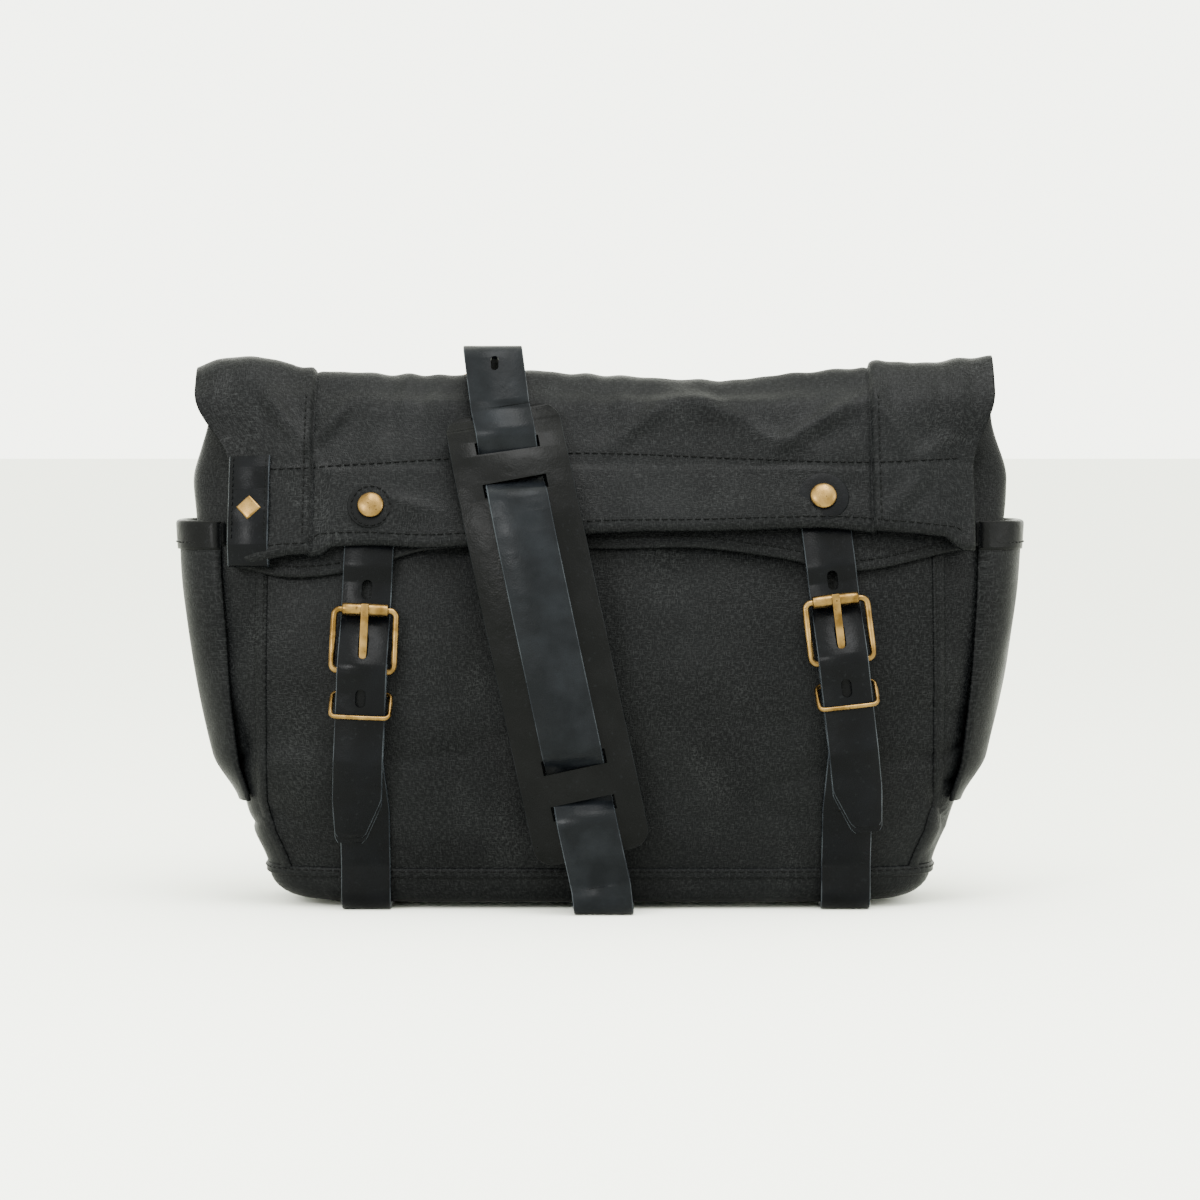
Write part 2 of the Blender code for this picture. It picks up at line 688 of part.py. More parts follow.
def strap_frame(bar_x, bar_z, tilt):
    """Frame at the canvas behind a buckle bar: Z up the strap, Y into the bag."""
    up = Vector((math.sin(tilt), 0.0, math.cos(tilt)))

    def canvas(s):
        spot = Vector((bar_x, 0.0, bar_z)) + up * s
        return strap_y(front_y, spot.x, spot.z)

    slope = (canvas(TANGENT_AT + 0.006) - canvas(TANGENT_AT - 0.006)) / 0.012
    axis = Vector((up.x, slope, up.z)).normalized()
    side = Vector((up.z, 0.0, -up.x))
    frame = Matrix((side, axis.cross(side), axis)).transposed().to_4x4()
    frame.translation = Vector((bar_x, canvas(TANGENT_AT) - slope * TANGENT_AT, bar_z))
    return frame


def canvas_in(frame, s):
    """How far the canvas falls away behind a strap frame's own plane."""
    depth = 0.0
    for _ in range(3):
        spot = frame @ Vector((0.0, depth, s))
        depth += (strap_y(front_y, spot.x, spot.z) - spot.y) / frame.col[1].y
    return depth


def buckle_parts(word, frame, bar, roller, strap_width):
    """Round wire frame and its turning roller, in a frame whose X runs along the bar."""
    half = (strap_width + BUCKLE_CLEAR) / 2
    corners = [frame @ Vector(spot) for spot in (
        (half, bar[0], bar[1]), (half, roller[0], roller[1]),
        (-half, roller[0], roller[1]), (-half, bar[0], bar[1]))]
    make_object("buckle_frame_" + word, wire_loop(corners, BUCKLE_CORNER, BUCKLE_WIRE), ANTIQUE_BRASS)
    axle = frame @ Vector((0.0, roller[0], roller[1]))
    pivot = make_pivot("roller_pivot_" + word, axle)
    long = (strap_width - ROLLER_SHORT) / 2
    edge = 0.0004
    place = facing(axle, frame.to_3x3() @ Vector((1.0, 0.0, 0.0)))
    make_object(
        "roller_" + word,
        lathe(((ROLLER_BORE, -long), (ROLLER_RADIUS - edge, -long), (ROLLER_RADIUS, edge - long),
               (ROLLER_RADIUS, long - edge), (ROLLER_RADIUS - edge, long), (ROLLER_BORE, long)), place, 20, True),
        ANTIQUE_BRASS, axle, pivot)


def fold_over(bar, thick, end, converge=0.009):
    """Strap coming up behind a bar, round it and down in front: local (y, s) points."""
    swing = BUCKLE_WIRE + GAP + thick / 2
    close = (thick + GAP) / 2
    fold = [(bar[0] + close, bar[1] - converge), (bar[0] + swing, bar[1] - 0.0025)]
    for step in range(9):
        angle = math.pi * step / 8
        fold.append((bar[0] + swing * math.cos(angle), bar[1] + swing * math.sin(angle)))
    fold += [(bar[0] - swing, bar[1] - 0.0025), (bar[0] - close, bar[1] - converge)]
    return fold + end


def tapered(path, width, tip_start, tip_side, tip_width=0.015):
    """Half widths along a strap whose last stations narrow on one side."""
    lengths = [0.0]
    for first, second in zip(path, path[1:]):
        lengths.append(lengths[-1] + (second - first).length)
    halves = []
    for run in lengths:
        narrow = max((run - (lengths[-1] - tip_start)) / tip_start, 0.0) * (width - tip_width)
        near, far = (0.8, 0.2) if tip_side < 0 else (0.2, 0.8)
        halves.append((width / 2 - narrow * near, width / 2 - narrow * far))
    return halves


def rivet(name, spot, normal, grip):
    """Domed rivet through a strap and the canvas behind it, with a burr inside."""
    make_object(
        name,
        lathe(((0.0, -grip - GAP - 0.0008), (0.0030, -grip - GAP - 0.0008), (0.0030, -grip - GAP),
               (RIVET_SHANK, -grip - GAP), (RIVET_SHANK, GAP), (RIVET_HEAD, GAP), (RIVET_HEAD, GAP + 0.0005),
               (RIVET_HEAD * 0.7, 0.0016), (0.0, 0.0020)), facing(spot, normal), 16),
        ANTIQUE_BRASS)


def rivet_hole(item, spot, normal, name):
    place = facing(spot, normal)
    cut(item, lathe(((0.0, -0.012), (RIVET_SHANK + GAP, -0.012), (RIVET_SHANK + GAP, 0.006), (0.0, 0.006)),
                    place, 16), name)


ACROSS = Vector((1.0, 0.0, 0.0))
closures = (
    ("left", LEFT_BAR_X, LEFT_BAR_SHARE * BAG_HEIGHT, LEFT_TILT, LEFT_FOOT_X, -1, flap_panel),
    ("right", RIGHT_BAR_X, RIGHT_BAR_SHARE * BAG_HEIGHT, RIGHT_TILT, RIGHT_FOOT_X, 1, flap_panel),
)
for word, bar_x, bar_z, tilt, foot_x, lean, flap_part in closures:
    frame = strap_frame(bar_x, bar_z, tilt)
    side = frame.to_3x3() @ ACROSS
    bar = (-BAR_OUT, 0.0)
    roller = (canvas_in(frame, BUCKLE_RISE) - BILLET_SNUG - CLOSURE_THICK / 2 - GAP - ROLLER_RADIUS, BUCKLE_RISE)
    buckle_parts(word, frame, bar, roller, CLOSURE_WIDTH)

    def local(y, s, frame=frame):
        return frame @ Vector((0.0, y, s))

    # lower strap: back panel, under the bag, up the front, round the bar and down again
    path = [Vector((foot_x, strap_y(back_y, foot_x, z) + SNUG, z)) for z in (BACK_ANCHOR_Z, 0.035, 0.022)]
    floor_level = CLOSURE_THICK / 2
    path.append(Vector((foot_x, path[-1].y, floor_level)))
    path.append(Vector((foot_x, strap_y(front_y, foot_x, 0.022) - SNUG, floor_level)))
    for z in (0.022, 0.035, 0.052):
        path.append(Vector((foot_x, strap_y(front_y, foot_x, z) - SNUG, z)))
    low = local(-LAYER_ONE, ZONE_LOW)
    mid_z = (0.052 + low.z) / 2
    mid_x = (foot_x + low.x) / 2
    path.append(Vector((mid_x, min(strap_y(front_y, mid_x, mid_z) - SNUG, (path[-1].y + low.y) / 2), mid_z)))
    path.append(low)
    tail_levels = (ZONE_LOW - 0.012, -0.072, -FOLD_BELOW)
    end = [(-LAYER_TWO, ZONE_LOW)]
    end += [(canvas_in(frame, s) - SNUG - LAYER_STEP - GAP, s) for s in tail_levels]
    path += [local(y, s) for y, s in fold_over(bar, CLOSURE_THICK, end)]
    path = rounded_path(path, 0.008, 4)
    floor_run = [point.z < bar_z - 0.060 and index < len(path) / 2 for index, point in enumerate(path)]
    hint_list = [ACROSS if on_floor else side for on_floor in floor_run]
    lower = make_object(
        "lower_strap_" + word,
        ribbon(path, CLOSURE_WIDTH, CLOSURE_THICK, hint_list, tapered(path, CLOSURE_WIDTH, 0.020, -lean)),
        STRAP_LEATHER)
    cut(lower, box_mesh(frame, (-0.0029, bar[0] - 0.009, -0.0065), (0.0029, bar[0] + 0.009, 0.0075)),
        "tongue_slot_" + word)
    spot_z = 0.038
    normal = surface_normal(back_y, foot_x, spot_z)
    spot = Vector((foot_x, strap_y(back_y, foot_x, spot_z) + GAP + CLOSURE_THICK, spot_z))
    rivet_hole(lower, spot, normal, "strap_hole_" + word)
    rivet_hole(back_panel, spot, normal, "panel_hole_" + word)
    grip = spot.y - back_y(foot_x, spot_z) + CANVAS + GAP
    rivet("rivet_" + word, spot + normal * 0.0002, normal, grip)

    # billet: sewn under the flap, behind the roller, over the bar and through the keeper
    hem_s = (HEM_LIP_Z - bar_z) / math.cos(tilt)
    over_hem = SNUG + HEM + HEM_LIFT + BILLET_LIFT
    stations = [(canvas_in(frame, s) - over_hem, s) for s in (BILLET_ABOVE, STUD_ABOVE, 0.068, hem_s)]
    stations += [(canvas_in(frame, hem_s - 0.003) - over_hem, hem_s - 0.003)]
    stations += [(canvas_in(frame, s) - BILLET_SNUG, s) for s in (hem_s - 0.011, 0.034, 0.027)]
    front_of_wrap = BAR_OUT + BUCKLE_WIRE + 2 * GAP + 1.5 * CLOSURE_THICK
    stations += [(-front_of_wrap, 0.0025), (-front_of_wrap, -0.0015), (-LAYER_THREE, -0.011), (-LAYER_THREE, ZONE_LOW)]
    stations += [(canvas_in(frame, s) - SNUG - 2 * LAYER_STEP - 2 * GAP, s)
                 for s in (ZONE_LOW - 0.012, -0.070, -BILLET_BELOW)]
    path = rounded_path([local(y, s) for y, s in stations], 0.006, 2)
    billet = make_object(
        "billet_" + word,
        ribbon(path, CLOSURE_WIDTH, CLOSURE_THICK, side, tapered(path, CLOSURE_WIDTH, 0.020, -lean)),
        STRAP_LEATHER)
    cut(billet, box_mesh(frame, (-0.0026, -0.020, 0.0015), (0.0026, 0.012, 0.0185)), "tongue_hole_" + word)
    cut(billet, box_mesh(frame, (-0.0025, -0.006, 0.0370), (0.0025, 0.020, 0.0450)), "high_hole_" + word)

    # tongue: hooked round the bar, its tip on the roller
    hook = BUCKLE_WIRE + GAP + TONGUE_THICK / 2
    rest = roller[0] - ROLLER_RADIUS - GAP - TONGUE_THICK / 2
    tongue = [(bar[0] + hook * math.cos(math.radians(angle)), hook * math.sin(math.radians(angle)))
              for angle in range(120, -181, -20)]
    tongue += [(bar[0] - hook - 0.0002, 0.004), (rest, BUCKLE_RISE - 0.004), (rest, BUCKLE_RISE + 0.003)]
    tongue_pivot = make_pivot("tongue_pivot_" + word, local(*bar))
    make_object(
        "tongue_" + word,
        ribbon([local(y, s) for y, s in tongue], TONGUE_WIDTH, TONGUE_THICK, side),
        ANTIQUE_BRASS, tongue_pivot.location.copy(), tongue_pivot)

    # wire keeper round all three layers
    corners = [frame @ Vector(spot) for spot in (
        (KEEPER_HALF, -KEEPER_REAR_IN, -KEEPER_REAR_DROP), (KEEPER_HALF, -KEEPER_FRONT_OUT, -KEEPER_FRONT_DROP),
        (-KEEPER_HALF, -KEEPER_FRONT_OUT, -KEEPER_FRONT_DROP), (-KEEPER_HALF, -KEEPER_REAR_IN, -KEEPER_REAR_DROP))]
    make_object("keeper_" + word, wire_loop(corners, KEEPER_CORNER, KEEPER_WIRE), ANTIQUE_BRASS)

    # press-stud: knob on the billet, socket and cap on the flap
    stud_spot = local(canvas_in(frame, STUD_ABOVE) - over_hem - CLOSURE_THICK / 2 - GAP, STUD_ABOVE)
    normal = surface_normal(front_y, stud_spot.x, stud_spot.z)
    normal.x = 0.0
    normal.normalize()
    place = facing(stud_spot, normal)
    make_object(
        "snap_stud_" + word,
        lathe(((0.0, 0.0), (0.0048, 0.0), (0.0048, 0.0006), (0.0024, 0.0006), (0.0026, 0.0020), (0.0, 0.0022)),
              place, 16), ANTIQUE_BRASS)
    reach = 0.004
    for _ in range(4):
        target = stud_spot + normal * reach
        reach += (target.y - flap_y(target.x, target.z)) / -normal.y
    flap_spot = stud_spot + normal * reach
    place = facing(flap_spot, normal)
    under = CANVAS + GAP
    make_object(
        "snap_socket_" + word,
        lathe(((0.0038, -under), (0.0038, -under - 0.0013), (0.0058, -under - 0.0013), (0.0058, -under)),
              place, 20, True), ANTIQUE_BRASS, FLAP_AXIS, flap_pivot)
    trim_radius, trim_thick = (WASHER_RADIUS, WASHER_THICK) if word == "right" else (RING_RADIUS, 0.0008)
    make_object(
        "snap_washer_" + word,
        lathe(((0.0022, GAP), (trim_radius, GAP), (trim_radius, GAP + trim_thick * 0.6),
               (trim_radius - 0.0004, GAP + trim_thick), (0.0022, GAP + trim_thick)), place, 28, True),
        STRAP_LEATHER if word == "right" else BLACK_CANVAS, FLAP_AXIS, flap_pivot)
    base = 2 * GAP + trim_thick
    make_object(
        "snap_cap_" + word,
        lathe(((0.0, base - 0.0030), (0.0016, base - 0.0030), (0.0016, base), (CAP_RADIUS - 0.0004, base),
               (CAP_RADIUS, base + 0.0006), (CAP_RADIUS * 0.93, base + 0.0017),
               (CAP_RADIUS * 0.62, base + CAP_HEIGHT * 0.88), (CAP_RADIUS * 0.25, base + CAP_HEIGHT),
               (0.0, base + CAP_HEIGHT)), place, 24),
        ANTIQUE_BRASS, FLAP_AXIS, flap_pivot)
    cut(flap_part, lathe(((0.0, -0.006), (0.0020, -0.006), (0.0020, 0.004), (0.0, 0.004)), place, 16),
        "cap_hole_" + word)

# ---- Shoulder strap: rear run on the bag, front run and pad turning at the floor ---------------
HINGE = Vector((0.0, -HINGE_OUT, HINGE_Z))
RIDGE_RADIUS = math.hypot(HINGE_OUT, BAG_HEIGHT + RIDGE_CLEAR - HINGE_Z)
shoulder_pivot = make_pivot("shoulder_pivot", HINGE)
PAD_SPINE = ((-0.128, 0.925), (-0.188, 0.833), (-0.231, 0.725), (-0.257, 0.580), (-0.272, 0.400),
             (-0.276, 0.256), (-0.270, 0.110))    # distance ahead, level, as shares of the height
strap_mid = SHOULDER_THICK / 2


def strap_x(z):
    """The front run slants from the ridge to the floor."""
    share = (z - HINGE_Z) / (BAG_HEIGHT - HINGE_Z)
    return STRAP_FOOT_X + (STRAP_TOP_X - STRAP_FOOT_X) * min(share, 1.0)


pad_curve = curve_through([-level for _, level in PAD_SPINE], [ahead for ahead, _ in PAD_SPINE])
spine = []
for level in spaced(PAD_SPINE[0][1], PAD_SPINE[-1][1], 121):
    z = level * BAG_HEIGHT
    spine.append(Vector((strap_x(z), pad_curve(-level) * BAG_HEIGHT, z)))
runs = [0.0]
for first, second in zip(spine, spine[1:]):
    runs.append(runs[-1] + (second - first).length)
PAD_LENGTH = runs[-1]


def on_pad(run, lift=0.0):
    """Point along the pad's middle, lifted off its mid-plane (outward is positive)."""
    index = int(np.clip(np.searchsorted(runs, run) - 1, 0, len(runs) - 2))
    share = (run - runs[index]) / (runs[index + 1] - runs[index])
    point = spine[index].lerp(spine[index + 1], share)
    tangent = (spine[index + 1] - spine[index]).normalized()
    side = (ACROSS - tangent * ACROSS.dot(tangent)).normalized()
    outward = side.cross(tangent)
    outward = outward if outward.y < 0 else -outward
    return point + outward * lift, tangent, side, outward


pad_path = []
pad_halves = []
stations = sorted({0.0, PAD_LENGTH} | set(spaced(0.0, PAD_CORNER, 6))
                  | set(spaced(PAD_LENGTH - PAD_CORNER, PAD_LENGTH, 6)) | set(spaced(0.0, PAD_LENGTH, 27)))
for run in stations:
    inset = max(PAD_CORNER - run, run - PAD_LENGTH + PAD_CORNER, 0.0)
    trim = PAD_CORNER - math.sqrt(max(PAD_CORNER ** 2 - inset ** 2, 0.0))
    pad_path.append(on_pad(run)[0])
    pad_halves.append((PAD_WIDTH / 2 - trim, PAD_WIDTH / 2 - trim))
shoulder_pad = make_object(
    "shoulder_pad", ribbon(pad_path, PAD_WIDTH, PAD_THICK, ACROSS, pad_halves), PAD_LEATHER, HINGE, shoulder_pivot)
for number, run in enumerate(PAD_SLOTS):
    middle, tangent, side, outward = on_pad(run * PAD_LENGTH / 0.232)
    slot_place = Matrix((side, outward, side.cross(outward))).transposed().to_4x4()
    slot_place.translation = middle
    cut(shoulder_pad,
        box_mesh(slot_place, (-SLOT_WIDTH / 2, -0.006, -SLOT_LENGTH / 2), (SLOT_WIDTH / 2, 0.006, SLOT_LENGTH / 2)),
        "pad_slot_%d" % number)

LIFT = PAD_THICK / 2 + 2.8 * SEAM_GAP + strap_mid
HALF_CROSS = LIFT
front_path = [Vector((STRAP_FOOT_X, -HINGE_OUT + strap_mid, HINGE_Z + GAP)),
              Vector((STRAP_FOOT_X, -HINGE_OUT + strap_mid - 0.0001, HINGE_Z + 0.0045))]
weave = [(PAD_LENGTH, 1), (PAD_LENGTH * 0.95, 1)]
slots = [run * PAD_LENGTH / 0.232 for run in PAD_SLOTS]
for slot, arriving in ((slots[3], 1), (slots[2], -1), (slots[1], 1), (slots[0], -1)):
    weave += [(slot + HALF_CROSS, arriving), (slot - HALF_CROSS, -arriving)]
    if slot == slots[2]:
        weave += [(run, 1) for run in spaced(slots[2] - 0.016, slots[1] + 0.016, 12)]
weave += [(0.0, 1)]
front_path += [on_pad(run, LIFT * lift)[0] for run, lift in weave]
top = front_path[-1]


def on_arc(angle, lift=0.0):
    """Point of the strap's run over the ridge, an arc about the floor hinge."""
    radius = RIDGE_RADIUS + lift
    return Vector((STRAP_TOP_X, -HINGE_OUT + radius * math.sin(angle), HINGE_Z + radius * math.cos(angle)))


arc_start = on_arc(math.radians(13.5))
rise = Vector((0.0, 0.42, 0.907))
arc_back = Vector((0.0, -math.cos(math.radians(13.5)), math.sin(math.radians(13.5))))
across_gap = arc_start - top
cross = rise.y * arc_back.z - rise.z * arc_back.y
reach = (across_gap.y * arc_back.z - across_gap.z * arc_back.y) / cross
peak = top + rise * reach
peak.x = STRAP_TOP_X
front_path += [peak, arc_start]
front_path = rounded_path(front_path, 0.0085, 3)
front_path += [on_arc(angle) for angle in np.linspace(math.radians(15), TAIL_ANGLE, 9)]
make_object(
    "shoulder_strap_front", ribbon(front_path, SHOULDER_WIDTH, SHOULDER_THICK, ACROSS), STRAP_LEATHER,
    HINGE, shoulder_pivot)

# rear run: from the floor hinge under the bag and up the back to its anchor
snug = GAP + strap_mid
rear_path = [Vector((STRAP_FOOT_X, -HINGE_OUT + strap_mid, HINGE_Z - GAP)),
             Vector((STRAP_FOOT_X, -HINGE_OUT + strap_mid, strap_mid))]
back_foot = back_y(STRAP_FOOT_X, 0.022) + snug
rear_path += [Vector((STRAP_FOOT_X, back_foot - 0.001, strap_mid)), Vector((STRAP_FOOT_X, back_foot, 0.022))]
ANCHOR_LOW = 0.41 * BAG_HEIGHT
ANCHOR_TOP = 0.55 * BAG_HEIGHT
for z in spaced(0.034, ANCHOR_TOP, 8):
    share = min((z - 0.034) / (ANCHOR_LOW - 0.034), 1.0)
    x = STRAP_FOOT_X + (ANCHOR_X - STRAP_FOOT_X) * share
    rear_path.append(Vector((x, back_y(x, z) + snug, z)))
rear_path = rounded_path(rear_path, 0.0055, 4)
rear_strap = make_object(
    "shoulder_strap_rear", ribbon(rear_path, SHOULDER_WIDTH, SHOULDER_THICK, ACROSS), STRAP_LEATHER)

# short strap: from its anchor on the back up to the rear buckle
middle = on_arc(REAR_BUCKLE_ANGLE)
along = Vector((0.0, -math.cos(REAR_BUCKLE_ANGLE), math.sin(REAR_BUCKLE_ANGLE)))
rear_frame = Matrix((Vector((-1.0, 0.0, 0.0)), along.cross(Vector((-1.0, 0.0, 0.0))), along)).transposed().to_4x4()
rear_frame.translation = middle
REAR_BAR_IN = strap_mid + 0.0008 + SHOULDER_THICK + GAP + BUCKLE_WIRE
REAR_ROLLER_OUT = strap_mid + SLIDE_GAP + ROLLER_RADIUS + 0.0003
half_rise = 0.5 * math.sqrt(BUCKLE_RISE ** 2 - (REAR_BAR_IN + REAR_ROLLER_OUT) ** 2)
buckle_parts("rear", rear_frame, (REAR_BAR_IN, -half_rise), (-REAR_ROLLER_OUT, half_rise), SHOULDER_WIDTH)
rear_bar = rear_frame @ Vector((0.0, REAR_BAR_IN, -half_rise))
short_low = Vector((STRAP_TOP_X, back_y(STRAP_TOP_X, ANCHOR_LOW) + snug, ANCHOR_LOW))
short_top = Vector((STRAP_TOP_X, back_y(STRAP_TOP_X, ANCHOR_TOP) + snug, ANCHOR_TOP))
climb = (rear_bar - short_top).normalized()
out = Vector((0.0, climb.z, -climb.y))
swing = BUCKLE_WIRE + GAP + strap_mid
close = (SHOULDER_THICK + GAP) / 2
short_path = [short_low, short_low.lerp(short_top, 0.5) + Vector((0.0, 0.0006, 0.0)), short_top]
short_path += [rear_bar - climb * 0.030 - out * close, rear_bar - climb * 0.011 - out * close]
for step in range(9):
    angle = math.pi * step / 8
    short_path.append(rear_bar - out * swing * math.cos(angle) + climb * swing * math.sin(angle))
short_path += [rear_bar - climb * 0.011 + out * close, rear_bar - climb * 0.040 + out * close]
short_strap = make_object(
    "shoulder_strap_short", ribbon(short_path, SHOULDER_WIDTH, SHOULDER_THICK, ACROSS), STRAP_LEATHER)
for item, x, word in ((rear_strap, ANCHOR_X, "rear"), (short_strap, STRAP_TOP_X, "short")):
    z = 0.48 * BAG_HEIGHT
    normal = surface_normal(back_y, x, z)
    spot = Vector((x, back_y(x, z) + GAP + SHOULDER_THICK + 0.0004, z))
    rivet_hole(item, spot, normal, "anchor_hole_" + word)
    rivet_hole(back_panel, spot, normal, "anchor_panel_hole_" + word)
    rivet("anchor_rivet_" + word, spot, normal, SHOULDER_THICK + CANVAS + 3 * GAP)
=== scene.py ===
import json
import math
from functools import partial

import bpy
from mathutils import Matrix, Vector, noise
from mathutils.bvhtree import BVHTree
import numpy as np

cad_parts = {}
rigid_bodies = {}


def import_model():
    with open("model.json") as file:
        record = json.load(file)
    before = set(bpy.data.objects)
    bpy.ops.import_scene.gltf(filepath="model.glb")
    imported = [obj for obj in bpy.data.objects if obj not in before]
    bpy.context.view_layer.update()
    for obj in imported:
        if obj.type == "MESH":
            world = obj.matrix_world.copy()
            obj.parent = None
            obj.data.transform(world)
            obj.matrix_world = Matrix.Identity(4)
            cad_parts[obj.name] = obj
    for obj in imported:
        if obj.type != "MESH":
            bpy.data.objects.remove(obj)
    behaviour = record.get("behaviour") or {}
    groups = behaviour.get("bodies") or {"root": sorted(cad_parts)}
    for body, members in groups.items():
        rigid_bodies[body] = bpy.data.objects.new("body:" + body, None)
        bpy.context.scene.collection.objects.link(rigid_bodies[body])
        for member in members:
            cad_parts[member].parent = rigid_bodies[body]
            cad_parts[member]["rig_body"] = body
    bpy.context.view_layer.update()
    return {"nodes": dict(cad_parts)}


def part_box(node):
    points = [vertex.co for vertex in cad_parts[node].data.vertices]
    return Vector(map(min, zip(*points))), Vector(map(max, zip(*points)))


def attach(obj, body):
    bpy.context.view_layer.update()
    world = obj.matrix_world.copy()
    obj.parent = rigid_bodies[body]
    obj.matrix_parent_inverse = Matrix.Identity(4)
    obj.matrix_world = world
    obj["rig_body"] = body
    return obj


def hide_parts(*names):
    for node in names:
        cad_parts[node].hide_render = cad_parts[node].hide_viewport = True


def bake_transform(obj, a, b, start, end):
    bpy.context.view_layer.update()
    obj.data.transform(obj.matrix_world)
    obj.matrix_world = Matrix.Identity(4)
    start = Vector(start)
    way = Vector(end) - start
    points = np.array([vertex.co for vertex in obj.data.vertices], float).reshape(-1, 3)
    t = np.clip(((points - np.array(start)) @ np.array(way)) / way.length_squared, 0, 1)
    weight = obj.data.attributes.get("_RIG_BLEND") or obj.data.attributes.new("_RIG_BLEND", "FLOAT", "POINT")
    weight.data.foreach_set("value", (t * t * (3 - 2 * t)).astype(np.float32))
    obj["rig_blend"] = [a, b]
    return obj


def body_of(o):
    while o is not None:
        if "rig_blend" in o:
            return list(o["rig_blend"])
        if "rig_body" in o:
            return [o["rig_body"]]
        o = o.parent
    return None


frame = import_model()
bpy.ops.object.select_all(action="DESELECT")

# ---- Studio -------------------------------------------------------------------------------------
# A pale seamless table with soft light from all round, a wide bank overhead and a fill by the lens.
bpy.ops.object.camera_add(location=(0.0, -1.969, 0.258))
camera = bpy.context.object
camera.rotation_euler = (math.radians(87.0), 0.0, 0.0)
camera.data.lens = 114
bpy.context.scene.camera = camera

bpy.ops.mesh.primitive_plane_add(size=1.0, location=(0.0, 0.0, 0.0))
floor = bpy.context.object
floor.name = "studio_floor"
bpy.ops.transform.resize(value=(30.0, 30.0, 1.0))
paper = bpy.data.materials.new("pale_paper")
paper.use_nodes = True
paper_shader = paper.node_tree.nodes["Principled BSDF"]
paper_shader.inputs["Base Color"].default_value = (0.725, 0.740, 0.690, 1.0)
paper_shader.inputs["Roughness"].default_value = 0.95
paper_shader.inputs["Specular IOR Level"].default_value = 0.0
floor.data.materials.append(paper)

world = bpy.data.worlds.new("studio_sky")
bpy.context.scene.world = world
world.use_nodes = True
world.node_tree.nodes["Background"].inputs["Color"].default_value = (0.96, 0.985, 0.88, 1.0)
world.node_tree.nodes["Background"].inputs["Strength"].default_value = 5.6


def soft_light(name, place, aim, size, power):
    bpy.ops.object.light_add(type="AREA", location=place)
    lamp = bpy.context.object
    lamp.name = name
    lamp.data.size = size
    lamp.data.energy = power
    lamp.rotation_euler = (Vector(place) - Vector(aim)).to_track_quat("Z", "Y").to_euler()


soft_light("bank_overhead", (0.1, -0.5, 1.6), (0.0, 0.0, 0.1), 0.9, 48.0)
soft_light("fill_front_left", (-1.1, -1.6, 0.9), (0.0, 0.0, 0.12), 0.5, 38.0)
soft_light("kicker_right", (1.3, -0.6, 0.7), (0.0, 0.0, 0.15), 0.6, 9.0)

# ---- Canvas body --------------------------------------------------------------------------------
# A tube of black waxed cotton canvas, sewn from a front, a back and two gussets to a base.
# The cloth is stiff and waxed: it holds broad soft dents, with pale scuffs on its high places.
HEIGHT = 0.273
HALF_WIDTH = 0.211
SQUARENESS = 4.5
BODY_LEVELS = (0.018, 0.040, 0.080, 0.120, 0.160, 0.200, 0.235, 0.262)
FRONT_BULGE = (0.0530, 0.0600, 0.0640, 0.0615, 0.0535, 0.0400, 0.0240, 0.0090)
BACK_BULGE = (0.0490, 0.0530, 0.0540, 0.0535, 0.0490, 0.0380, 0.0250, 0.0100)
BODY_HALF = (0.1710, 0.1800, 0.1920, 0.2000, 0.2060, 0.2090, 0.2105, 0.2110)
SEAM_Z = 0.018
BASE_Z = 0.0033
CLOTH = 0.0014


def eased(level, levels, values):
    """Smooth reading of a few shape values at any level."""
    if level <= levels[0]:
        return values[0]
    for low, high, start, end in zip(levels, levels[1:], values, values[1:]):
        if level <= high:
            index = levels.index(low)
            before = values[max(index - 1, 0)]
            after = values[min(index + 2, len(values) - 1)]
            t = (level - low) / (high - low)
            lead = (end - before) / 2
            trail = (after - start) / 2
            return (start * (2 * t ** 3 - 3 * t * t + 1) + lead * (t ** 3 - 2 * t * t + t)
                    + end * (3 * t * t - 2 * t ** 3) + trail * (t ** 3 - t * t))
    return values[-1]


def crown(x, z):
    """Share of the bulge that is left at one place across the body."""
    share = min(abs(x) / eased(z, BODY_LEVELS, BODY_HALF), 0.9999)
    return (1 - share ** SQUARENESS) ** (1 / SQUARENESS)


def front_y(x, z):
    return -eased(z, BODY_LEVELS, FRONT_BULGE) * crown(x, z)


def back_y(x, z):
    return eased(z, BODY_LEVELS, BACK_BULGE) * crown(x, z)


def smooth_step(value, low, high):
    t = min(max((value - low) / (high - low), 0.0), 1.0)
    return t * t * (3 - 2 * t)


def dent(point, size, seed):
    """Soft random relief of a stiff cloth, -1 to 1."""
    return noise.noise(point / size + Vector((seed, seed * 1.7, seed * 0.3)))


def crease(point, size, seed):
    """Sharper folds: narrow high ridges between broad hollows."""
    value = 1.0 - abs(noise.noise(point / size + Vector((seed, 0.0, seed * 2.1)))) * 2.0
    return max(value, 0.0) ** 3


def formed_cloth(name, columns, rows, shape, cut):
    """Flat grid of cloth laid into shape; its UV map is the flat cloth in metres."""
    bpy.ops.object.select_all(action="DESELECT")
    bpy.ops.mesh.primitive_grid_add(x_subdivisions=columns, y_subdivisions=rows, size=1.0)
    cloth = bpy.context.object
    cloth.name = name
    layer = cloth.data.uv_layers.active
    for loop in cloth.data.loops:
        flat = cloth.data.vertices[loop.vertex_index].co
        layer.data[loop.index].uv = ((flat.x + 0.5) * cut[0], (flat.y + 0.5) * cut[1])
    for vertex in cloth.data.vertices:
        vertex.co = shape(vertex.co.x + 0.5, vertex.co.y + 0.5)
    return cloth


def pick(piece):
    """Make one object the only selected one."""
    bpy.ops.object.select_all(action="DESELECT")
    bpy.context.view_layer.objects.active = piece
    piece.select_set(True)


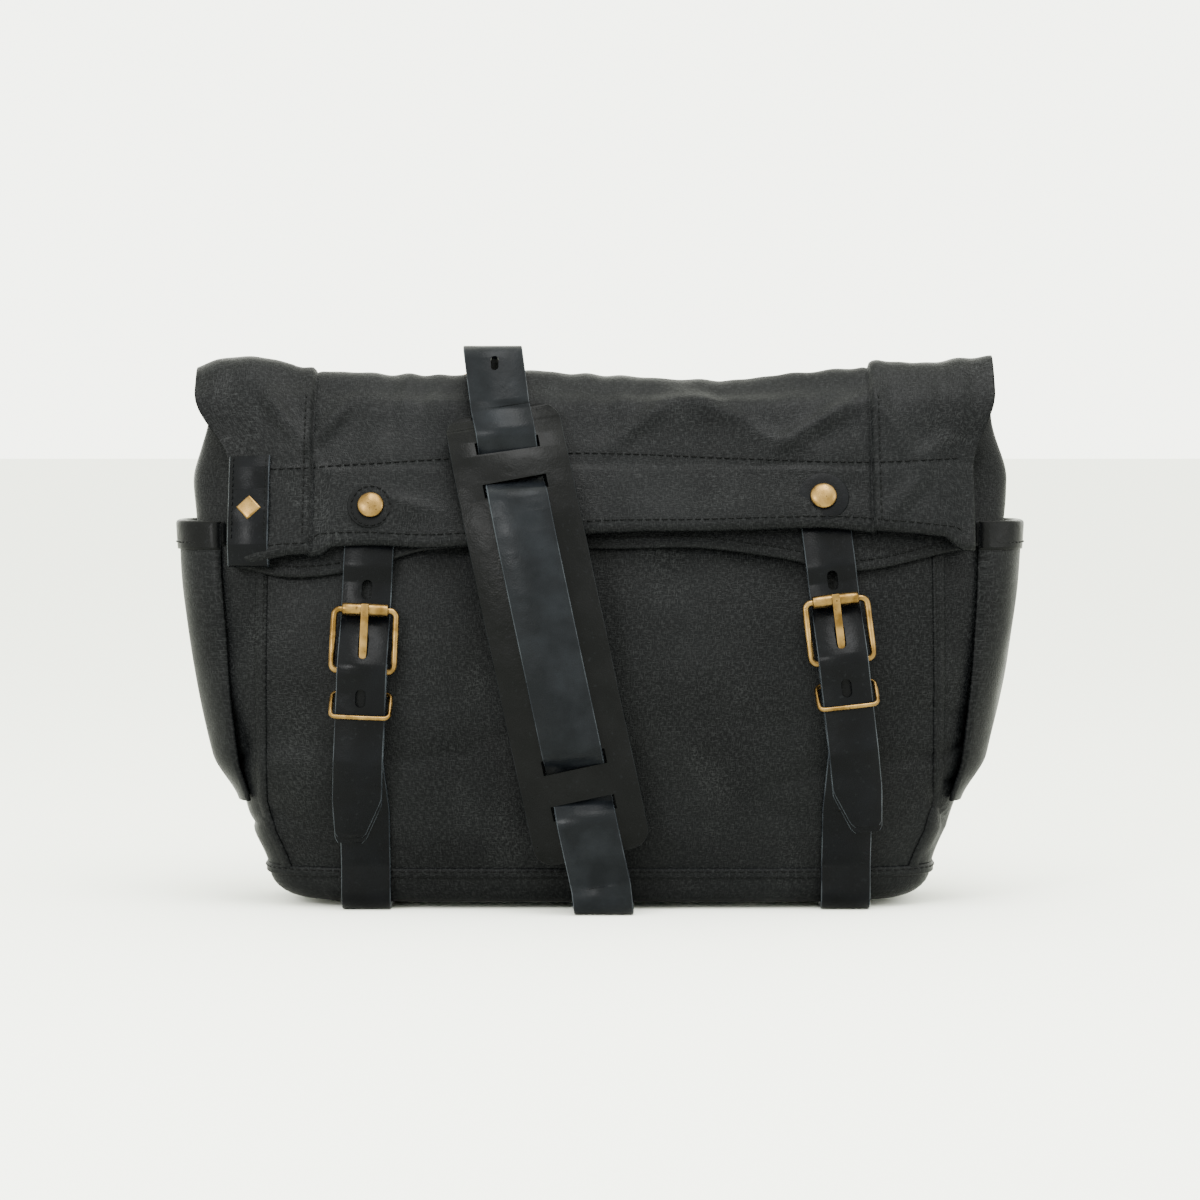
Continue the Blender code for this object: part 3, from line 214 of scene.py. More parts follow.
def apply_all(piece):
    """Apply every modifier of an object, in order."""
    pick(piece)
    for modifier in list(piece.modifiers):
        bpy.ops.object.modifier_apply(modifier=modifier.name)


def thicken(piece, thick, offset=-1.0):
    """Give a single sheet its wall."""
    solid = piece.modifiers.new("wall", "SOLIDIFY")
    solid.thickness = thick
    solid.offset = offset
    apply_all(piece)
    piece.data.shade_smooth()


def tidy_normals(piece, merge=0.0):
    """Turn a mesh's faces outward, after joining points nearer than the merge distance."""
    pick(piece)
    bpy.ops.object.mode_set(mode="EDIT")
    bpy.ops.mesh.select_all(action="SELECT")
    if merge:
        bpy.ops.mesh.remove_doubles(threshold=merge)
    bpy.ops.mesh.normals_make_consistent(inside=False)
    bpy.ops.object.mode_set(mode="OBJECT")


# Cloth pattern shared by every canvas piece: two crossing sets of uneven threads, wax blotches,
# and scuffs where the wax has cracked
weave = bpy.data.node_groups.new("waxed_weave", "ShaderNodeTree")
weave.interface.new_socket("Cloth", in_out="INPUT", socket_type="NodeSocketVector")
weave.interface.new_socket("Place", in_out="INPUT", socket_type="NodeSocketVector")
weave.interface.new_socket("Color", in_out="OUTPUT", socket_type="NodeSocketColor")
weave.interface.new_socket("Roughness", in_out="OUTPUT", socket_type="NodeSocketFloat")
weave.interface.new_socket("Height", in_out="OUTPUT", socket_type="NodeSocketFloat")
wn, wl = weave.nodes, weave.links
w_in = wn.new("NodeGroupInput")
w_out = wn.new("NodeGroupOutput")


def threads(across):
    mapping = wn.new("ShaderNodeMapping")
    mapping.inputs["Scale"].default_value = (1600, 420, 1) if across else (420, 1600, 1)
    wl.new(w_in.outputs["Cloth"], mapping.inputs["Vector"])
    pattern = wn.new("ShaderNodeTexNoise")
    pattern.inputs["Scale"].default_value = 1.0
    pattern.inputs["Detail"].default_value = 1.5
    wl.new(mapping.outputs["Vector"], pattern.inputs["Vector"])
    return pattern.outputs["Fac"]


thread_mix = wn.new("ShaderNodeMath")
thread_mix.operation = "MAXIMUM"
wl.new(threads(True), thread_mix.inputs[0])
wl.new(threads(False), thread_mix.inputs[1])
wl.new(thread_mix.outputs[0], w_out.inputs["Height"])


def noise_mask(nodes, links, place, scale, detail, low, high):
    """Random mask, 0 to 1 between two levels of a noise."""
    pattern = nodes.new("ShaderNodeTexNoise")
    pattern.inputs["Scale"].default_value = scale
    pattern.inputs["Detail"].default_value = detail
    links.new(place, pattern.inputs["Vector"])
    ramp = nodes.new("ShaderNodeMapRange")
    ramp.inputs["From Min"].default_value = low
    ramp.inputs["From Max"].default_value = high
    links.new(pattern.outputs["Fac"], ramp.inputs["Value"])
    return ramp.outputs["Result"]


def value_range(nodes, links, mask, low, high):
    """Spread a 0 to 1 mask over a range of values."""
    ramp = nodes.new("ShaderNodeMapRange")
    ramp.inputs["To Min"].default_value = low
    ramp.inputs["To Max"].default_value = high
    links.new(mask, ramp.inputs["Value"])
    return ramp.outputs["Result"]


def blend_colour(nodes, links, factor, first, second):
    """Mix two colours, each a value or a socket, by a mask."""
    mix = nodes.new("ShaderNodeMix")
    mix.data_type = "RGBA"
    links.new(factor, mix.inputs["Factor"])
    for socket, value in ((mix.inputs["A"], first), (mix.inputs["B"], second)):
        if isinstance(value, tuple):
            socket.default_value = (*value, 1.0)
        else:
            links.new(value, socket)
    return mix.outputs["Result"]


WAX_DARK = (0.0005, 0.0006, 0.0008)
WAX_WORN = (0.0017, 0.0019, 0.0022)
THREAD_GREY = (0.0074, 0.0078, 0.0083)
SCUFF_GREY = (0.0170, 0.0178, 0.0184)
w_place = w_in.outputs["Place"]
waxed = blend_colour(wn, wl, noise_mask(wn, wl, w_place, 16.0, 4.0, 0.35, 0.68), WAX_DARK, WAX_WORN)
thread_ramp = wn.new("ShaderNodeMapRange")
thread_ramp.inputs["From Min"].default_value = 0.50
thread_ramp.inputs["From Max"].default_value = 0.80
wl.new(thread_mix.outputs[0], thread_ramp.inputs["Value"])
threaded = blend_colour(wn, wl, thread_ramp.outputs["Result"], waxed, THREAD_GREY)
scuff = wn.new("ShaderNodeMath")
scuff.operation = "MULTIPLY"
wl.new(noise_mask(wn, wl, w_place, 30.0, 7.0, 0.56, 0.92), scuff.inputs[0])
wl.new(thread_ramp.outputs["Result"], scuff.inputs[1])
wl.new(blend_colour(wn, wl, scuff.outputs[0], threaded, SCUFF_GREY), w_out.inputs["Color"])
wax_gloss = noise_mask(wn, wl, w_place, 24.0, 4.0, 0.30, 0.70)
wl.new(value_range(wn, wl, wax_gloss, 0.32, 0.62), w_out.inputs["Roughness"])

canvas = bpy.data.materials.new("black_waxed_canvas")
canvas.use_nodes = True
cn, cl = canvas.node_tree.nodes, canvas.node_tree.links
canvas_shader = cn["Principled BSDF"]
canvas_shader.inputs["Specular IOR Level"].default_value = 0.040
canvas_shader.inputs["Sheen Weight"].default_value = 0.0
canvas_group = cn.new("ShaderNodeGroup")
canvas_group.node_tree = weave
canvas_uv = cn.new("ShaderNodeUVMap")
canvas_place = cn.new("ShaderNodeTexCoord")
cl.new(canvas_uv.outputs["UV"], canvas_group.inputs["Cloth"])
cl.new(canvas_place.outputs["Object"], canvas_group.inputs["Place"])
cl.new(canvas_group.outputs["Color"], canvas_shader.inputs["Base Color"])
cl.new(canvas_group.outputs["Roughness"], canvas_shader.inputs["Roughness"])
canvas_bump = cn.new("ShaderNodeBump")
canvas_bump.inputs["Strength"].default_value = 0.55
canvas_bump.inputs["Distance"].default_value = 0.0006
cl.new(canvas_group.outputs["Height"], canvas_bump.inputs["Height"])
cl.new(canvas_bump.outputs["Normal"], canvas_shader.inputs["Normal"])

# the tube's rings share one set of angles, evenly spaced along the cloth
ring_points = []
for step in range(721):
    angle = 2 * math.pi * step / 720
    cosine, sine = math.cos(angle), math.sin(angle)
    ring_points.append((math.copysign(abs(cosine) ** (2 / SQUARENESS), cosine),
                        math.copysign(abs(sine) ** (2 / SQUARENESS), sine)))
ring_runs = [0.0]
for (x0, y0), (x1, y1) in zip(ring_points, ring_points[1:]):
    ring_runs.append(ring_runs[-1] + math.hypot((x1 - x0) * 0.20, (y1 - y0) * 0.06))


def ring_spot(share):
    run = share * ring_runs[-1]
    low, high = 0, len(ring_runs) - 1
    while high - low > 1:
        middle = (low + high) // 2
        if ring_runs[middle] <= run:
            low = middle
        else:
            high = middle
    t = (run - ring_runs[low]) / (ring_runs[high] - ring_runs[low])
    return (ring_points[low][0] * (1 - t) + ring_points[high][0] * t,
            ring_points[low][1] * (1 - t) + ring_points[high][1] * t)


BODY_TOP = 0.2575
BASE_END = 0.05
TURN_END = 0.12
FLAT_SHARE = 0.88


def body_shape(u, v):
    """Body cloth from the middle of the base (v = 0) to the mouth (v = 1)."""
    side_x, side_y = ring_spot(u)
    if v < BASE_END:
        share = FLAT_SHARE * v / BASE_END
        z = BASE_Z
        level = SEAM_Z
    elif v < TURN_END:
        turn = math.pi / 2 * (1 - (v - BASE_END) / (TURN_END - BASE_END))
        share = FLAT_SHARE + (1 - FLAT_SHARE) * math.cos(turn)
        z = SEAM_Z - (SEAM_Z - BASE_Z) * math.sin(turn)
        level = SEAM_Z
    else:
        share = 1.0
        z = SEAM_Z + (BODY_TOP - SEAM_Z) * (v - TURN_END) / (1 - TURN_END)
        level = z
    bulge = eased(level, BODY_LEVELS, FRONT_BULGE if side_y < 0 else BACK_BULGE)
    tuck = 1 - 0.040 * smooth_step(z, 0.218, BODY_TOP)
    drop = 0.0050 * smooth_step(abs(side_x), 0.90, 1.0) * smooth_step(z, 0.20, BODY_TOP)
    half = eased(level, BODY_LEVELS, BODY_HALF) * share * tuck
    point = Vector((side_x * half, side_y * bulge * share, z - drop))
    free = smooth_step(z, 0.012, 0.060) * (1 - smooth_step(z, 0.215, 0.250))
    relief = 0.0022 * dent(point, 0.070, 3.0) + 0.0012 * dent(point, 0.028, 7.0)
    low_folds = crease(Vector((point.x * 0.5, point.y, point.z * 1.6)), 0.045, 11.0)
    edge_share = smooth_step(abs(point.x), 0.135, 0.175)
    relief -= (0.0016 + 0.0022 * edge_share) * low_folds * (1 - smooth_step(z, 0.06, 0.13))
    relief += 0.0014 * edge_share * dent(Vector((point.x * 0.6, point.y, point.z * 1.4)), 0.030, 17.0)
    out = Vector((point.x * 0.08, math.copysign(1.0, point.y) * min(abs(point.y) * 40, 1.0), 0.0))
    if abs(side_x) > 0.93:
        out = Vector((math.copysign(1.0, point.x), out.y * 0.3, 0.0))
    return point + out.normalized() * (relief * free - 0.0004)


BODY_CUT = (1.02, 0.255)
body = formed_cloth("canvas_body", 240, 110, body_shape, BODY_CUT)
tidy_normals(body, 0.00005)
thicken(body, CLOTH)
body.data.materials.append(canvas)
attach(body, "bag")
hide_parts("front_panel", "back_panel", "gusset_left", "gusset_right", "base_panel")

# ---- Seam welts ---------------------------------------------------------------------------------
# The panels' raw edges are turned in and top-stitched, which leaves a low raised welt down each
# side of the front and round the base, sewn with black thread.
def skin(*cloths):
    """Ray target made of finished cloths, for laying trims on them."""
    trees = [BVHTree.FromObject(cloth, bpy.context.evaluated_depsgraph_get()) for cloth in cloths]

    def hit(x, z, from_back=False):
        start = Vector((x, 0.5 if from_back else -0.5, z))
        aim = Vector((0.0, -1.0 if from_back else 1.0, 0.0))
        best = None
        for tree in trees:
            spot, normal, _, _ = tree.ray_cast(start, aim)
            if spot is not None and (best is None or (spot - start).length < (best[0] - start).length):
                best = (spot, normal if normal.dot(aim) < 0 else -normal)
        return best

    return hit


def runs_along(path):
    """Distance from the start of a path to each of its points."""
    runs = [0.0]
    for first, second in zip(path, path[1:]):
        runs.append(runs[-1] + (second - first).length)
    return runs


def sweep(name, path, normals, width, thick, halves=None, edge=0.0007):
    """Flat strip along a path, its face along the given normals, with rounded edges and a UV map."""
    count = len(path)
    bpy.ops.object.select_all(action="DESELECT")
    bpy.ops.mesh.primitive_grid_add(x_subdivisions=8, y_subdivisions=count - 1, size=1.0)
    strip = bpy.context.object
    strip.name = name
    runs = runs_along(path)
    layer = strip.data.uv_layers.active
    for loop in strip.data.loops:
        flat = strip.data.vertices[loop.vertex_index].co
        column = round((flat.x + 0.5) * 8)
        row = round((flat.y + 0.5) * (count - 1))
        layer.data[loop.index].uv = (width / 2 if 2 <= column <= 5 else -width / 2, runs[row])
    for vertex in strip.data.vertices:
        column = round((vertex.co.x + 0.5) * 8)
        row = round((vertex.co.y + 0.5) * (count - 1))
        point = path[row]
        tangent = (path[min(row + 1, count - 1)] - path[max(row - 1, 0)]).normalized()
        face = (normals[row] - tangent * normals[row].dot(tangent)).normalized()
        side = tangent.cross(face)
        low, high = halves[row] if halves else (width / 2, width / 2)
        round_off = min(edge, thick * 0.45)
        spots = ((-low, round_off - thick / 2), (round_off - low, -thick / 2),
                 (high - round_off, -thick / 2), (high, round_off - thick / 2),
                 (high, thick / 2 - round_off), (high - round_off, thick / 2),
                 (round_off - low, thick / 2), (-low, thick / 2 - round_off),
                 (-low, round_off - thick / 2))
        across, lift = spots[column]
        vertex.co = point + side * across + face * lift
    bpy.context.view_layer.objects.active = strip
    bpy.ops.object.mode_set(mode="EDIT")
    bpy.ops.mesh.select_all(action="SELECT")
    bpy.ops.mesh.remove_doubles(threshold=0.00002)
    bpy.ops.mesh.fill_holes(sides=8)
    bpy.ops.mesh.select_all(action="SELECT")
    bpy.ops.mesh.normals_make_consistent(inside=False)
    bpy.ops.object.mode_set(mode="OBJECT")
    strip.data.shade_smooth()
    strip.data.set_sharp_from_angle(angle=math.radians(60))
    return strip


def between(points, count):
    """Even points along a smooth curve through a few given ones."""
    runs = runs_along(points)
    result = []
    for step in range(count):
        run = runs[-1] * step / (count - 1)
        index = 0
        while index < len(runs) - 2 and runs[index + 1] < run:
            index += 1
        t = (run - runs[index]) / (runs[index + 1] - runs[index])
        p0 = points[max(index - 1, 0)]
        p1, p2 = points[index], points[index + 1]
        p3 = points[min(index + 2, len(points) - 1)]
        span = runs[index + 1] - runs[index]
        lead = p2 - p1
        trail = p2 - p1
        if index:
            lead = (p2 - p0) * (span / max((p2 - p1).length + (p1 - p0).length, 1e-9))
        if p3 != p2:
            trail = (p3 - p1) * (span / max((p3 - p2).length + (p2 - p1).length, 1e-9))
        result.append(p1 * (2 * t ** 3 - 3 * t * t + 1) + lead * (t ** 3 - 2 * t * t + t)
                      + p2 * (3 * t * t - 2 * t ** 3) + trail * (t ** 3 - t * t))
    return result


thread = bpy.data.materials.new("black_bonded_thread")
thread.use_nodes = True
tn, tl = thread.node_tree.nodes, thread.node_tree.links
thread_shader = tn["Principled BSDF"]
thread_shader.inputs["Roughness"].default_value = 0.5
thread_shader.inputs["Specular IOR Level"].default_value = 0.04
thread_place = tn.new("ShaderNodeTexCoord")
thread_twist = tn.new("ShaderNodeTexNoise")
thread_twist.inputs["Scale"].default_value = 900.0
tl.new(thread_place.outputs["Object"], thread_twist.inputs["Vector"])
THREAD_DARK = (0.0004, 0.0004, 0.0005)
THREAD_SHINE = (0.0026, 0.0028, 0.0030)
twisted = blend_colour(tn, tl, thread_twist.outputs["Fac"], THREAD_DARK, THREAD_SHINE)
tl.new(twisted, thread_shader.inputs["Base Color"])


def stitches(name, path, normals, body_name, pitch=0.0042, stitch=0.0030, thick=0.00035):
    """Row of thread stitches lying on a surface, each a small bent five-sided bead."""
    runs = runs_along(path)
    bead = ((-0.5, -0.2, 0.45), (-0.25, 0.5, 1.0), (0.25, 0.5, 1.0), (0.5, -0.2, 0.45))
    verts, faces = [], []
    for number in range(int(runs[-1] / pitch)):
        middle = (number + 0.5) * pitch
        index = 0
        while index < len(runs) - 2 and runs[index + 1] < middle:
            index += 1
        t = (middle - runs[index]) / (runs[index + 1] - runs[index])
        spot = path[index].lerp(path[index + 1], t)
        face = normals[index].lerp(normals[index + 1], t).normalized()
        along = (path[index + 1] - path[index]).normalized()
        side = along.cross(face).normalized()
        base = len(verts)
        for share, lift, size in bead:
            for corner in range(5):
                angle = 2 * math.pi * corner / 5
                verts.append(spot + along * share * stitch + face * (lift * thick)
                             + (side * math.cos(angle) + face * math.sin(angle) * 0.8) * thick * size)
        for band in range(3):
            for corner in range(5):
                turn = (corner + 1) % 5
                faces.append((base + band * 5 + corner, base + band * 5 + turn,
                              base + band * 5 + 5 + turn, base + band * 5 + 5 + corner))
        faces.append(tuple(base + corner for corner in range(4, -1, -1)))
        faces.append(tuple(base + 15 + corner for corner in range(5)))
    mesh = bpy.data.meshes.new(name)
    mesh.from_pydata(verts, [], faces)
    row = bpy.data.objects.new(name, mesh)
    bpy.context.scene.collection.objects.link(row)
    tidy_normals(row)
    mesh.shade_smooth()
    mesh.materials.append(thread)
    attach(row, body_name)


body_skin = skin(body)
for side, word in ((-1, "left"), (1, "right")):
    spots, faces = [], []
    for step in range(46):
        z = 0.020 + 0.176 * step / 45
        x = side * min(0.1715, 0.93 * eased(z, BODY_LEVELS, BODY_HALF))
        spot, normal = body_skin(x, z)
        spots.append(spot + normal * 0.0004)
        faces.append(normal)
    welt = sweep("front_welt_" + word, spots, faces, 0.0062, 0.0014)
    welt.data.materials.append(canvas)
    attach(welt, "bag")
    inward = Vector((side * 0.0015, 0.0, 0.0))
    row = [spot + normal * 0.0009 - inward for spot, normal in zip(spots, faces)]
    stitches("front_welt_stitches_" + word, row, faces, "bag")

spots, faces = [], []
for step in range(181):
    side_x, side_y = ring_spot(step / 180)
    bulge = 0.0530 if side_y < 0 else 0.0490
    spots.append(Vector((side_x * 0.1716, side_y * (bulge + 0.0006), SEAM_Z + 0.001)))
    outward = Vector((side_x ** 3 * 0.6, side_y, 0.0)).normalized()
    if abs(side_x) > 0.95:
        outward = Vector((math.copysign(1.0, side_x), side_y * 0.5, 0.0)).normalized()
    faces.append(outward)
base_welt = sweep("base_welt", spots, faces, 0.0050, 0.0012)
base_welt.data.materials.append(canvas)
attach(base_welt, "bag")
row = [spot + normal * 0.0008 + Vector((0.0, 0.0, 0.0008)) for spot, normal in zip(spots, faces)]
stitches("base_welt_stitches", row, faces, "bag")

# ---- Inner hem of the mouth ---------------------------------------------------------------------
# The inner layer of the folded-over top: its turned edge hangs a little below the flap's lip,
# soft and wavy, lying on the front panel behind the straps.
HEM_LEVELS_X = (-0.187, -0.162, -0.140, -0.115, -0.090, -0.050, 0.000, 0.050, 0.090, 0.130, 0.187)
HEM_LOW = (0.1755, 0.1705, 0.1710, 0.1760, 0.1835, 0.1860, 0.1845, 0.1850, 0.1800, 0.1735, 0.1840)


def hem_shape(u, v):
    """Doubled cloth: down the outside, round the edge and up behind."""
    x = -0.1865 + 0.373 * u
    low = eased(x, HEM_LEVELS_X, HEM_LOW)
    if v < 0.62:
        z = 0.226 + (low - 0.226) * (v / 0.62)
        out = 0.0030
    elif v < 0.72:
        turn = (v - 0.62) / 0.10 * math.pi
        z = low - 0.0011 * math.sin(turn)
        out = 0.0019 + 0.0011 * math.cos(turn)
    else:
        z = low + 0.024 * (v - 0.72) / 0.28
        out = 0.0008
    swell = smooth_step(low + 0.016 - z, 0.0, 0.016)
    wave = 0.0009 * dent(Vector((x, 0.0, z * 0.4)), 0.035, 21.0) * swell
    return Vector((x, front_y(x, z) - out - 0.0003 - max(wave, -0.0004), z))


hem = formed_cloth("mouth_hem", 220, 44, hem_shape, (0.373, 0.085))
tidy_normals(hem)
thicken(hem, 0.0009, 0.0)
hem.data.materials.append(canvas)
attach(hem, "bag")
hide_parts("front_hem")
spots, faces = [], []
for step in range(120):
    x = -0.184 + 0.368 * step / 119
    z = eased(x, HEM_LEVELS_X, HEM_LOW) + 0.0042
    spots.append(Vector((x, front_y(x, z) - 0.0040, z)))
    faces.append(Vector((0.0, -0.9, 0.35)).normalized())
stitches("mouth_hem_stitches", spots, faces, "bag")

# ---- Flap ---------------------------------------------------------------------------------------
# The outer layer of the folded-over top, with a deep turned hem and a band sewn on at each side.
# Its ridge is uneven where the stiff cloth folds, and it flares at the ends.
RIDGE_X = (-0.206, -0.185, -0.172, -0.150, -0.145, -0.070, -0.030,
           0.020, 0.060, 0.105, 0.135, 0.140, 0.165, 0.195)
RIDGE_LIFT = (-0.0080, 0.0000, 0.0005, -0.0035, -0.0050, -0.0070, -0.0055,
              -0.0080, -0.0100, -0.0060, -0.0030, -0.0010, -0.0020, 0.0010)
LIP_X = (-0.187, -0.165, -0.147, -0.142, -0.120, -0.080, -0.005, 0.050, 0.115, 0.140, 0.180, 0.190)
LIP_Z = (0.1765, 0.1810, 0.1825, 0.1865, 0.1875, 0.1865, 0.1930, 0.1940, 0.1955, 0.1940, 0.1900, 0.1830)
BAND_SEAMS = (-0.147, 0.139)
FLAP_OUT = 0.0128
FLAP_CLOTH = 0.0016
RIDGE = ((0.0132, 0.2500), (0.0146, 0.2580), (0.0130, 0.2660), (0.0075, 0.2725), (0.0000, 0.2755),
         (-0.0085, 0.2740), (-0.0175, 0.2650), (-0.0255, 0.2540))


def flap_spine(x):
    """Section of the flap at one place: from behind the ridge, over it and down to the lip."""
    lip = eased(x, LIP_X, LIP_Z)
    lift = eased(x, RIDGE_X, RIDGE_LIFT)
    spine = []
    for y, z in RIDGE:
        share = smooth_step(z, 0.252, 0.272)
        spine.append(Vector((0.0, y, z + lift * share + 0.002)))
    spine[0].z -= 0.002
    for step in range(1, 8):
        z = 0.246 + (lip - 0.246) * (step - 0.2) / 6.8
        spine.append(Vector((0.0, front_y(x, z) - FLAP_OUT, z)))
    return spine


# pulled folds: middle, slant, half length and height
FLAP_FOLDS = (
    (-0.158, 0.243, -0.9, 0.022, 0.0030), (-0.137, 0.247, 0.8, 0.018, 0.0024),
    (0.112, 0.246, 0.5, 0.026, 0.0034), (0.060, 0.252, -0.4, 0.024, 0.0026),
    (0.152, 0.240, -1.0, 0.020, 0.0028), (-0.060, 0.240, 0.3, 0.022, 0.0020),
    (0.020, 0.246, 0.6, 0.020, 0.0022), (0.158, 0.212, 0.8, 0.018, 0.0020),
    (-0.100, 0.206, -0.3, 0.020, 0.0014), (0.170, 0.232, 0.7, 0.016, 0.0018),
    (0.085, 0.238, -0.2, 0.020, 0.0014),
)
FLAP_COLUMNS = 380
FLAP_CUT = (0.393, 0.155)
LIP_START = 0.80
LIP_END = 0.84
TURNED_HEM = 0.030
flap_sections = []
for column in range(FLAP_COLUMNS + 1):
    flap_sections.append(between(flap_spine(-0.197 + FLAP_CUT[0] * column / FLAP_COLUMNS), 121))


def flap_shape(u, v):
    """Flap cloth from behind the ridge (v = 0), down to the lip and up again behind it."""
    row = min(v / LIP_START, 1.0)
    line = flap_sections[round(u * FLAP_COLUMNS)]
    spot = line[min(int(round(row * 120)), 120)].copy()
    high = smooth_step(spot.z, 0.222, 0.262)
    left = -0.1885 - 0.0190 * high
    right = 0.1895 + 0.0125 * high
    x = left + (right - left) * u
    if v > LIP_START:
        turn = min((v - LIP_START) / (LIP_END - LIP_START), 1.0) * math.pi
        behind = 0.0012 * (1 - math.cos(turn))
        spot += Vector((0.0, behind, -0.0012 * math.sin(turn)))
        if v > LIP_END:
            rise = TURNED_HEM * (v - LIP_END) / (1 - LIP_END)
            spot = Vector((0.0, front_y(x, spot.z + rise) - FLAP_OUT + 0.0024, spot.z + rise))
    point = Vector((x, spot.y, spot.z))
    free = smooth_step(row, 0.06, 0.30)
    flat = Vector((x, 0.0, spot.z))
    relief = 0.0017 * dent(flat, 0.040, 31.0) + 0.0008 * dent(flat, 0.016, 5.0)
    for fold_x, fold_z, slant, length, deep in FLAP_FOLDS:
        along = (x - fold_x) * math.cos(slant) + (spot.z - fold_z) * math.sin(slant)
        off = -(x - fold_x) * math.sin(slant) + (spot.z - fold_z) * math.cos(slant)
        relief += deep * math.exp(-(along / length) ** 2 - (off / 0.0045) ** 2)
    ripple = math.sin(x * 330 + 2.0 * dent(Vector((x, 0, 0)), 0.06, 2.0))
    puckers = 0.0016 * ripple * dent(Vector((x, 0, 0.3)), 0.05, 9.0)
    relief += puckers * smooth_step(spot.z, 0.225, 0.262)
    step_over = 0.0020 * (smooth_step(-x, -BAND_SEAMS[0] - 0.0004, -BAND_SEAMS[0] + 0.0006)
                          + smooth_step(x, BAND_SEAMS[1] - 0.0004, BAND_SEAMS[1] + 0.0006))
    for seam in BAND_SEAMS:
        step_over -= 0.0008 * math.exp(-((abs(x) - abs(seam) + 0.0012) / 0.0014) ** 2) * (x * seam > 0)
    hem_step = 0.0008 * smooth_step(0.2245 - spot.z, 0.0, 0.0015) if v <= LIP_START else 0.0
    out = Vector((0.0, -0.85, 0.5)) if row > 0.45 else Vector((0.0, spot.y, 0.03)).normalized()
    return point + out * (relief * free + step_over + hem_step)


flap = formed_cloth("flap_cloth", FLAP_COLUMNS, 125, flap_shape, FLAP_CUT)
tidy_normals(flap)
thicken(flap, FLAP_CLOTH, 0.0)
flap.data.materials.append(canvas)
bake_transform(flap, "bag", "flap", start=(0.0, 0.0138, 0.2620), end=(0.0, 0.0040, 0.2620))
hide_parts("flap_panel", "flap_band_left", "flap_band_right")
flap_skin = skin(flap)


def row_on(target, points, lift=0.0003):
    spots, faces = [], []
    for x, z in points:
        found = target(x, z)
        if found:
            spots.append(found[0] + found[1] * lift)
            faces.append(found[1])
    return spots, faces


STITCH_LEVELS_X = (-0.186, -0.150, -0.130, -0.080, -0.010, 0.080, 0.135, 0.187)
STITCH_LEVELS = (0.2230, 0.2240, 0.2255, 0.2285, 0.2315, 0.2285, 0.2270, 0.2290)
stations = [-0.184 + 0.369 * step / 150 for step in range(151)]
line = [(x, eased(x, STITCH_LEVELS_X, STITCH_LEVELS)) for x in stations]
stitches("flap_hem_stitches", *row_on(flap_skin, line), "flap")
line = [(x, eased(x, LIP_X, LIP_Z) + 0.0045) for x in stations]
stitches("flap_lip_stitches", *row_on(flap_skin, line), "flap")
for name, x, nudge in (("left", BAND_SEAMS[0], -0.003), ("right", BAND_SEAMS[1], 0.003)):
    line = [(x + nudge, 0.262 - 0.072 * step / 40) for step in range(41)]
    stitches("band_stitches_" + name, *row_on(flap_skin, line), "flap")

# ---- Side pockets -------------------------------------------------------------------------------
# A flat canvas pocket on each gusset, sewn in along both sides and across the bottom, standing
# open a little at the top where a folded strip of thin leather binds its edge.
def gusset_point(side, t, z, out=0.0):
    """Point on a gusset: t runs from its front seam (-1) to its back seam (1)."""
    seam = min(0.815 * HALF_WIDTH, 0.93 * eased(z, BODY_LEVELS, BODY_HALF)) + 0.0008
    y = abs(t) * (front_y(seam, z) if t < 0 else back_y(seam, z))
    bulge = eased(z, BODY_LEVELS, FRONT_BULGE if y < 0 else BACK_BULGE)
    x = eased(z, BODY_LEVELS, BODY_HALF) * (1 - (abs(y) / bulge) ** SQUARENESS) ** (1 / SQUARENESS)
    return Vector((side * (x + out), y, z))


POCKET_LOW = 0.0546
POCKET_TOP = 0.1952
POCKET_REACH = 0.90
POCKET_CUT = (0.09, 0.14)
BINDING_CUT = (0.09, 0.032)


def pocket_out(t, z):
    """How far the pocket's cloth stands off the gusset: nothing at its seams, most at its mouth."""
    open_part = smooth_step(z, POCKET_LOW, POCKET_LOW + 0.022)
    return 0.0020 + (0.0016 + 0.0056 * (1 - t * t)) * open_part


leather = bpy.data.node_groups.new("oiled_leather", "ShaderNodeTree")
leather.interface.new_socket("Place", in_out="INPUT", socket_type="NodeSocketVector")
leather.interface.new_socket("Dark", in_out="INPUT", socket_type="NodeSocketColor")
leather.interface.new_socket("Light", in_out="INPUT", socket_type="NodeSocketColor")
leather.interface.new_socket("Color", in_out="OUTPUT", socket_type="NodeSocketColor")
leather.interface.new_socket("Roughness", in_out="OUTPUT", socket_type="NodeSocketFloat")
leather.interface.new_socket("Height", in_out="OUTPUT", socket_type="NodeSocketFloat")
hn, hl = leather.nodes, leather.links
hide_in = hn.new("NodeGroupInput")
hide_out = hn.new("NodeGroupOutput")
hide_place = hide_in.outputs["Place"]
pores = hn.new("ShaderNodeTexVoronoi")
pores.inputs["Scale"].default_value = 1100.0
hl.new(hide_in.outputs["Place"], pores.inputs["Vector"])
grain = hn.new("ShaderNodeMath")
grain.operation = "MULTIPLY_ADD"
grain.inputs[1].default_value = 0.5
hl.new(pores.outputs["Distance"], grain.inputs[0])
hl.new(noise_mask(hn, hl, hide_place, 260.0, 5.0, 0.3, 0.7), grain.inputs[2])
hl.new(grain.outputs[0], hide_out.inputs["Height"])
wear = noise_mask(hn, hl, hide_place, 55.0, 6.0, 0.40, 0.72)
flecks = noise_mask(hn, hl, hide_place, 420.0, 3.0, 0.62, 0.80)
worn = blend_colour(hn, hl, wear, hide_in.outputs["Dark"], hide_in.outputs["Light"])
flecked = blend_colour(hn, hl, flecks, worn, (0.0026, 0.0030, 0.0036))
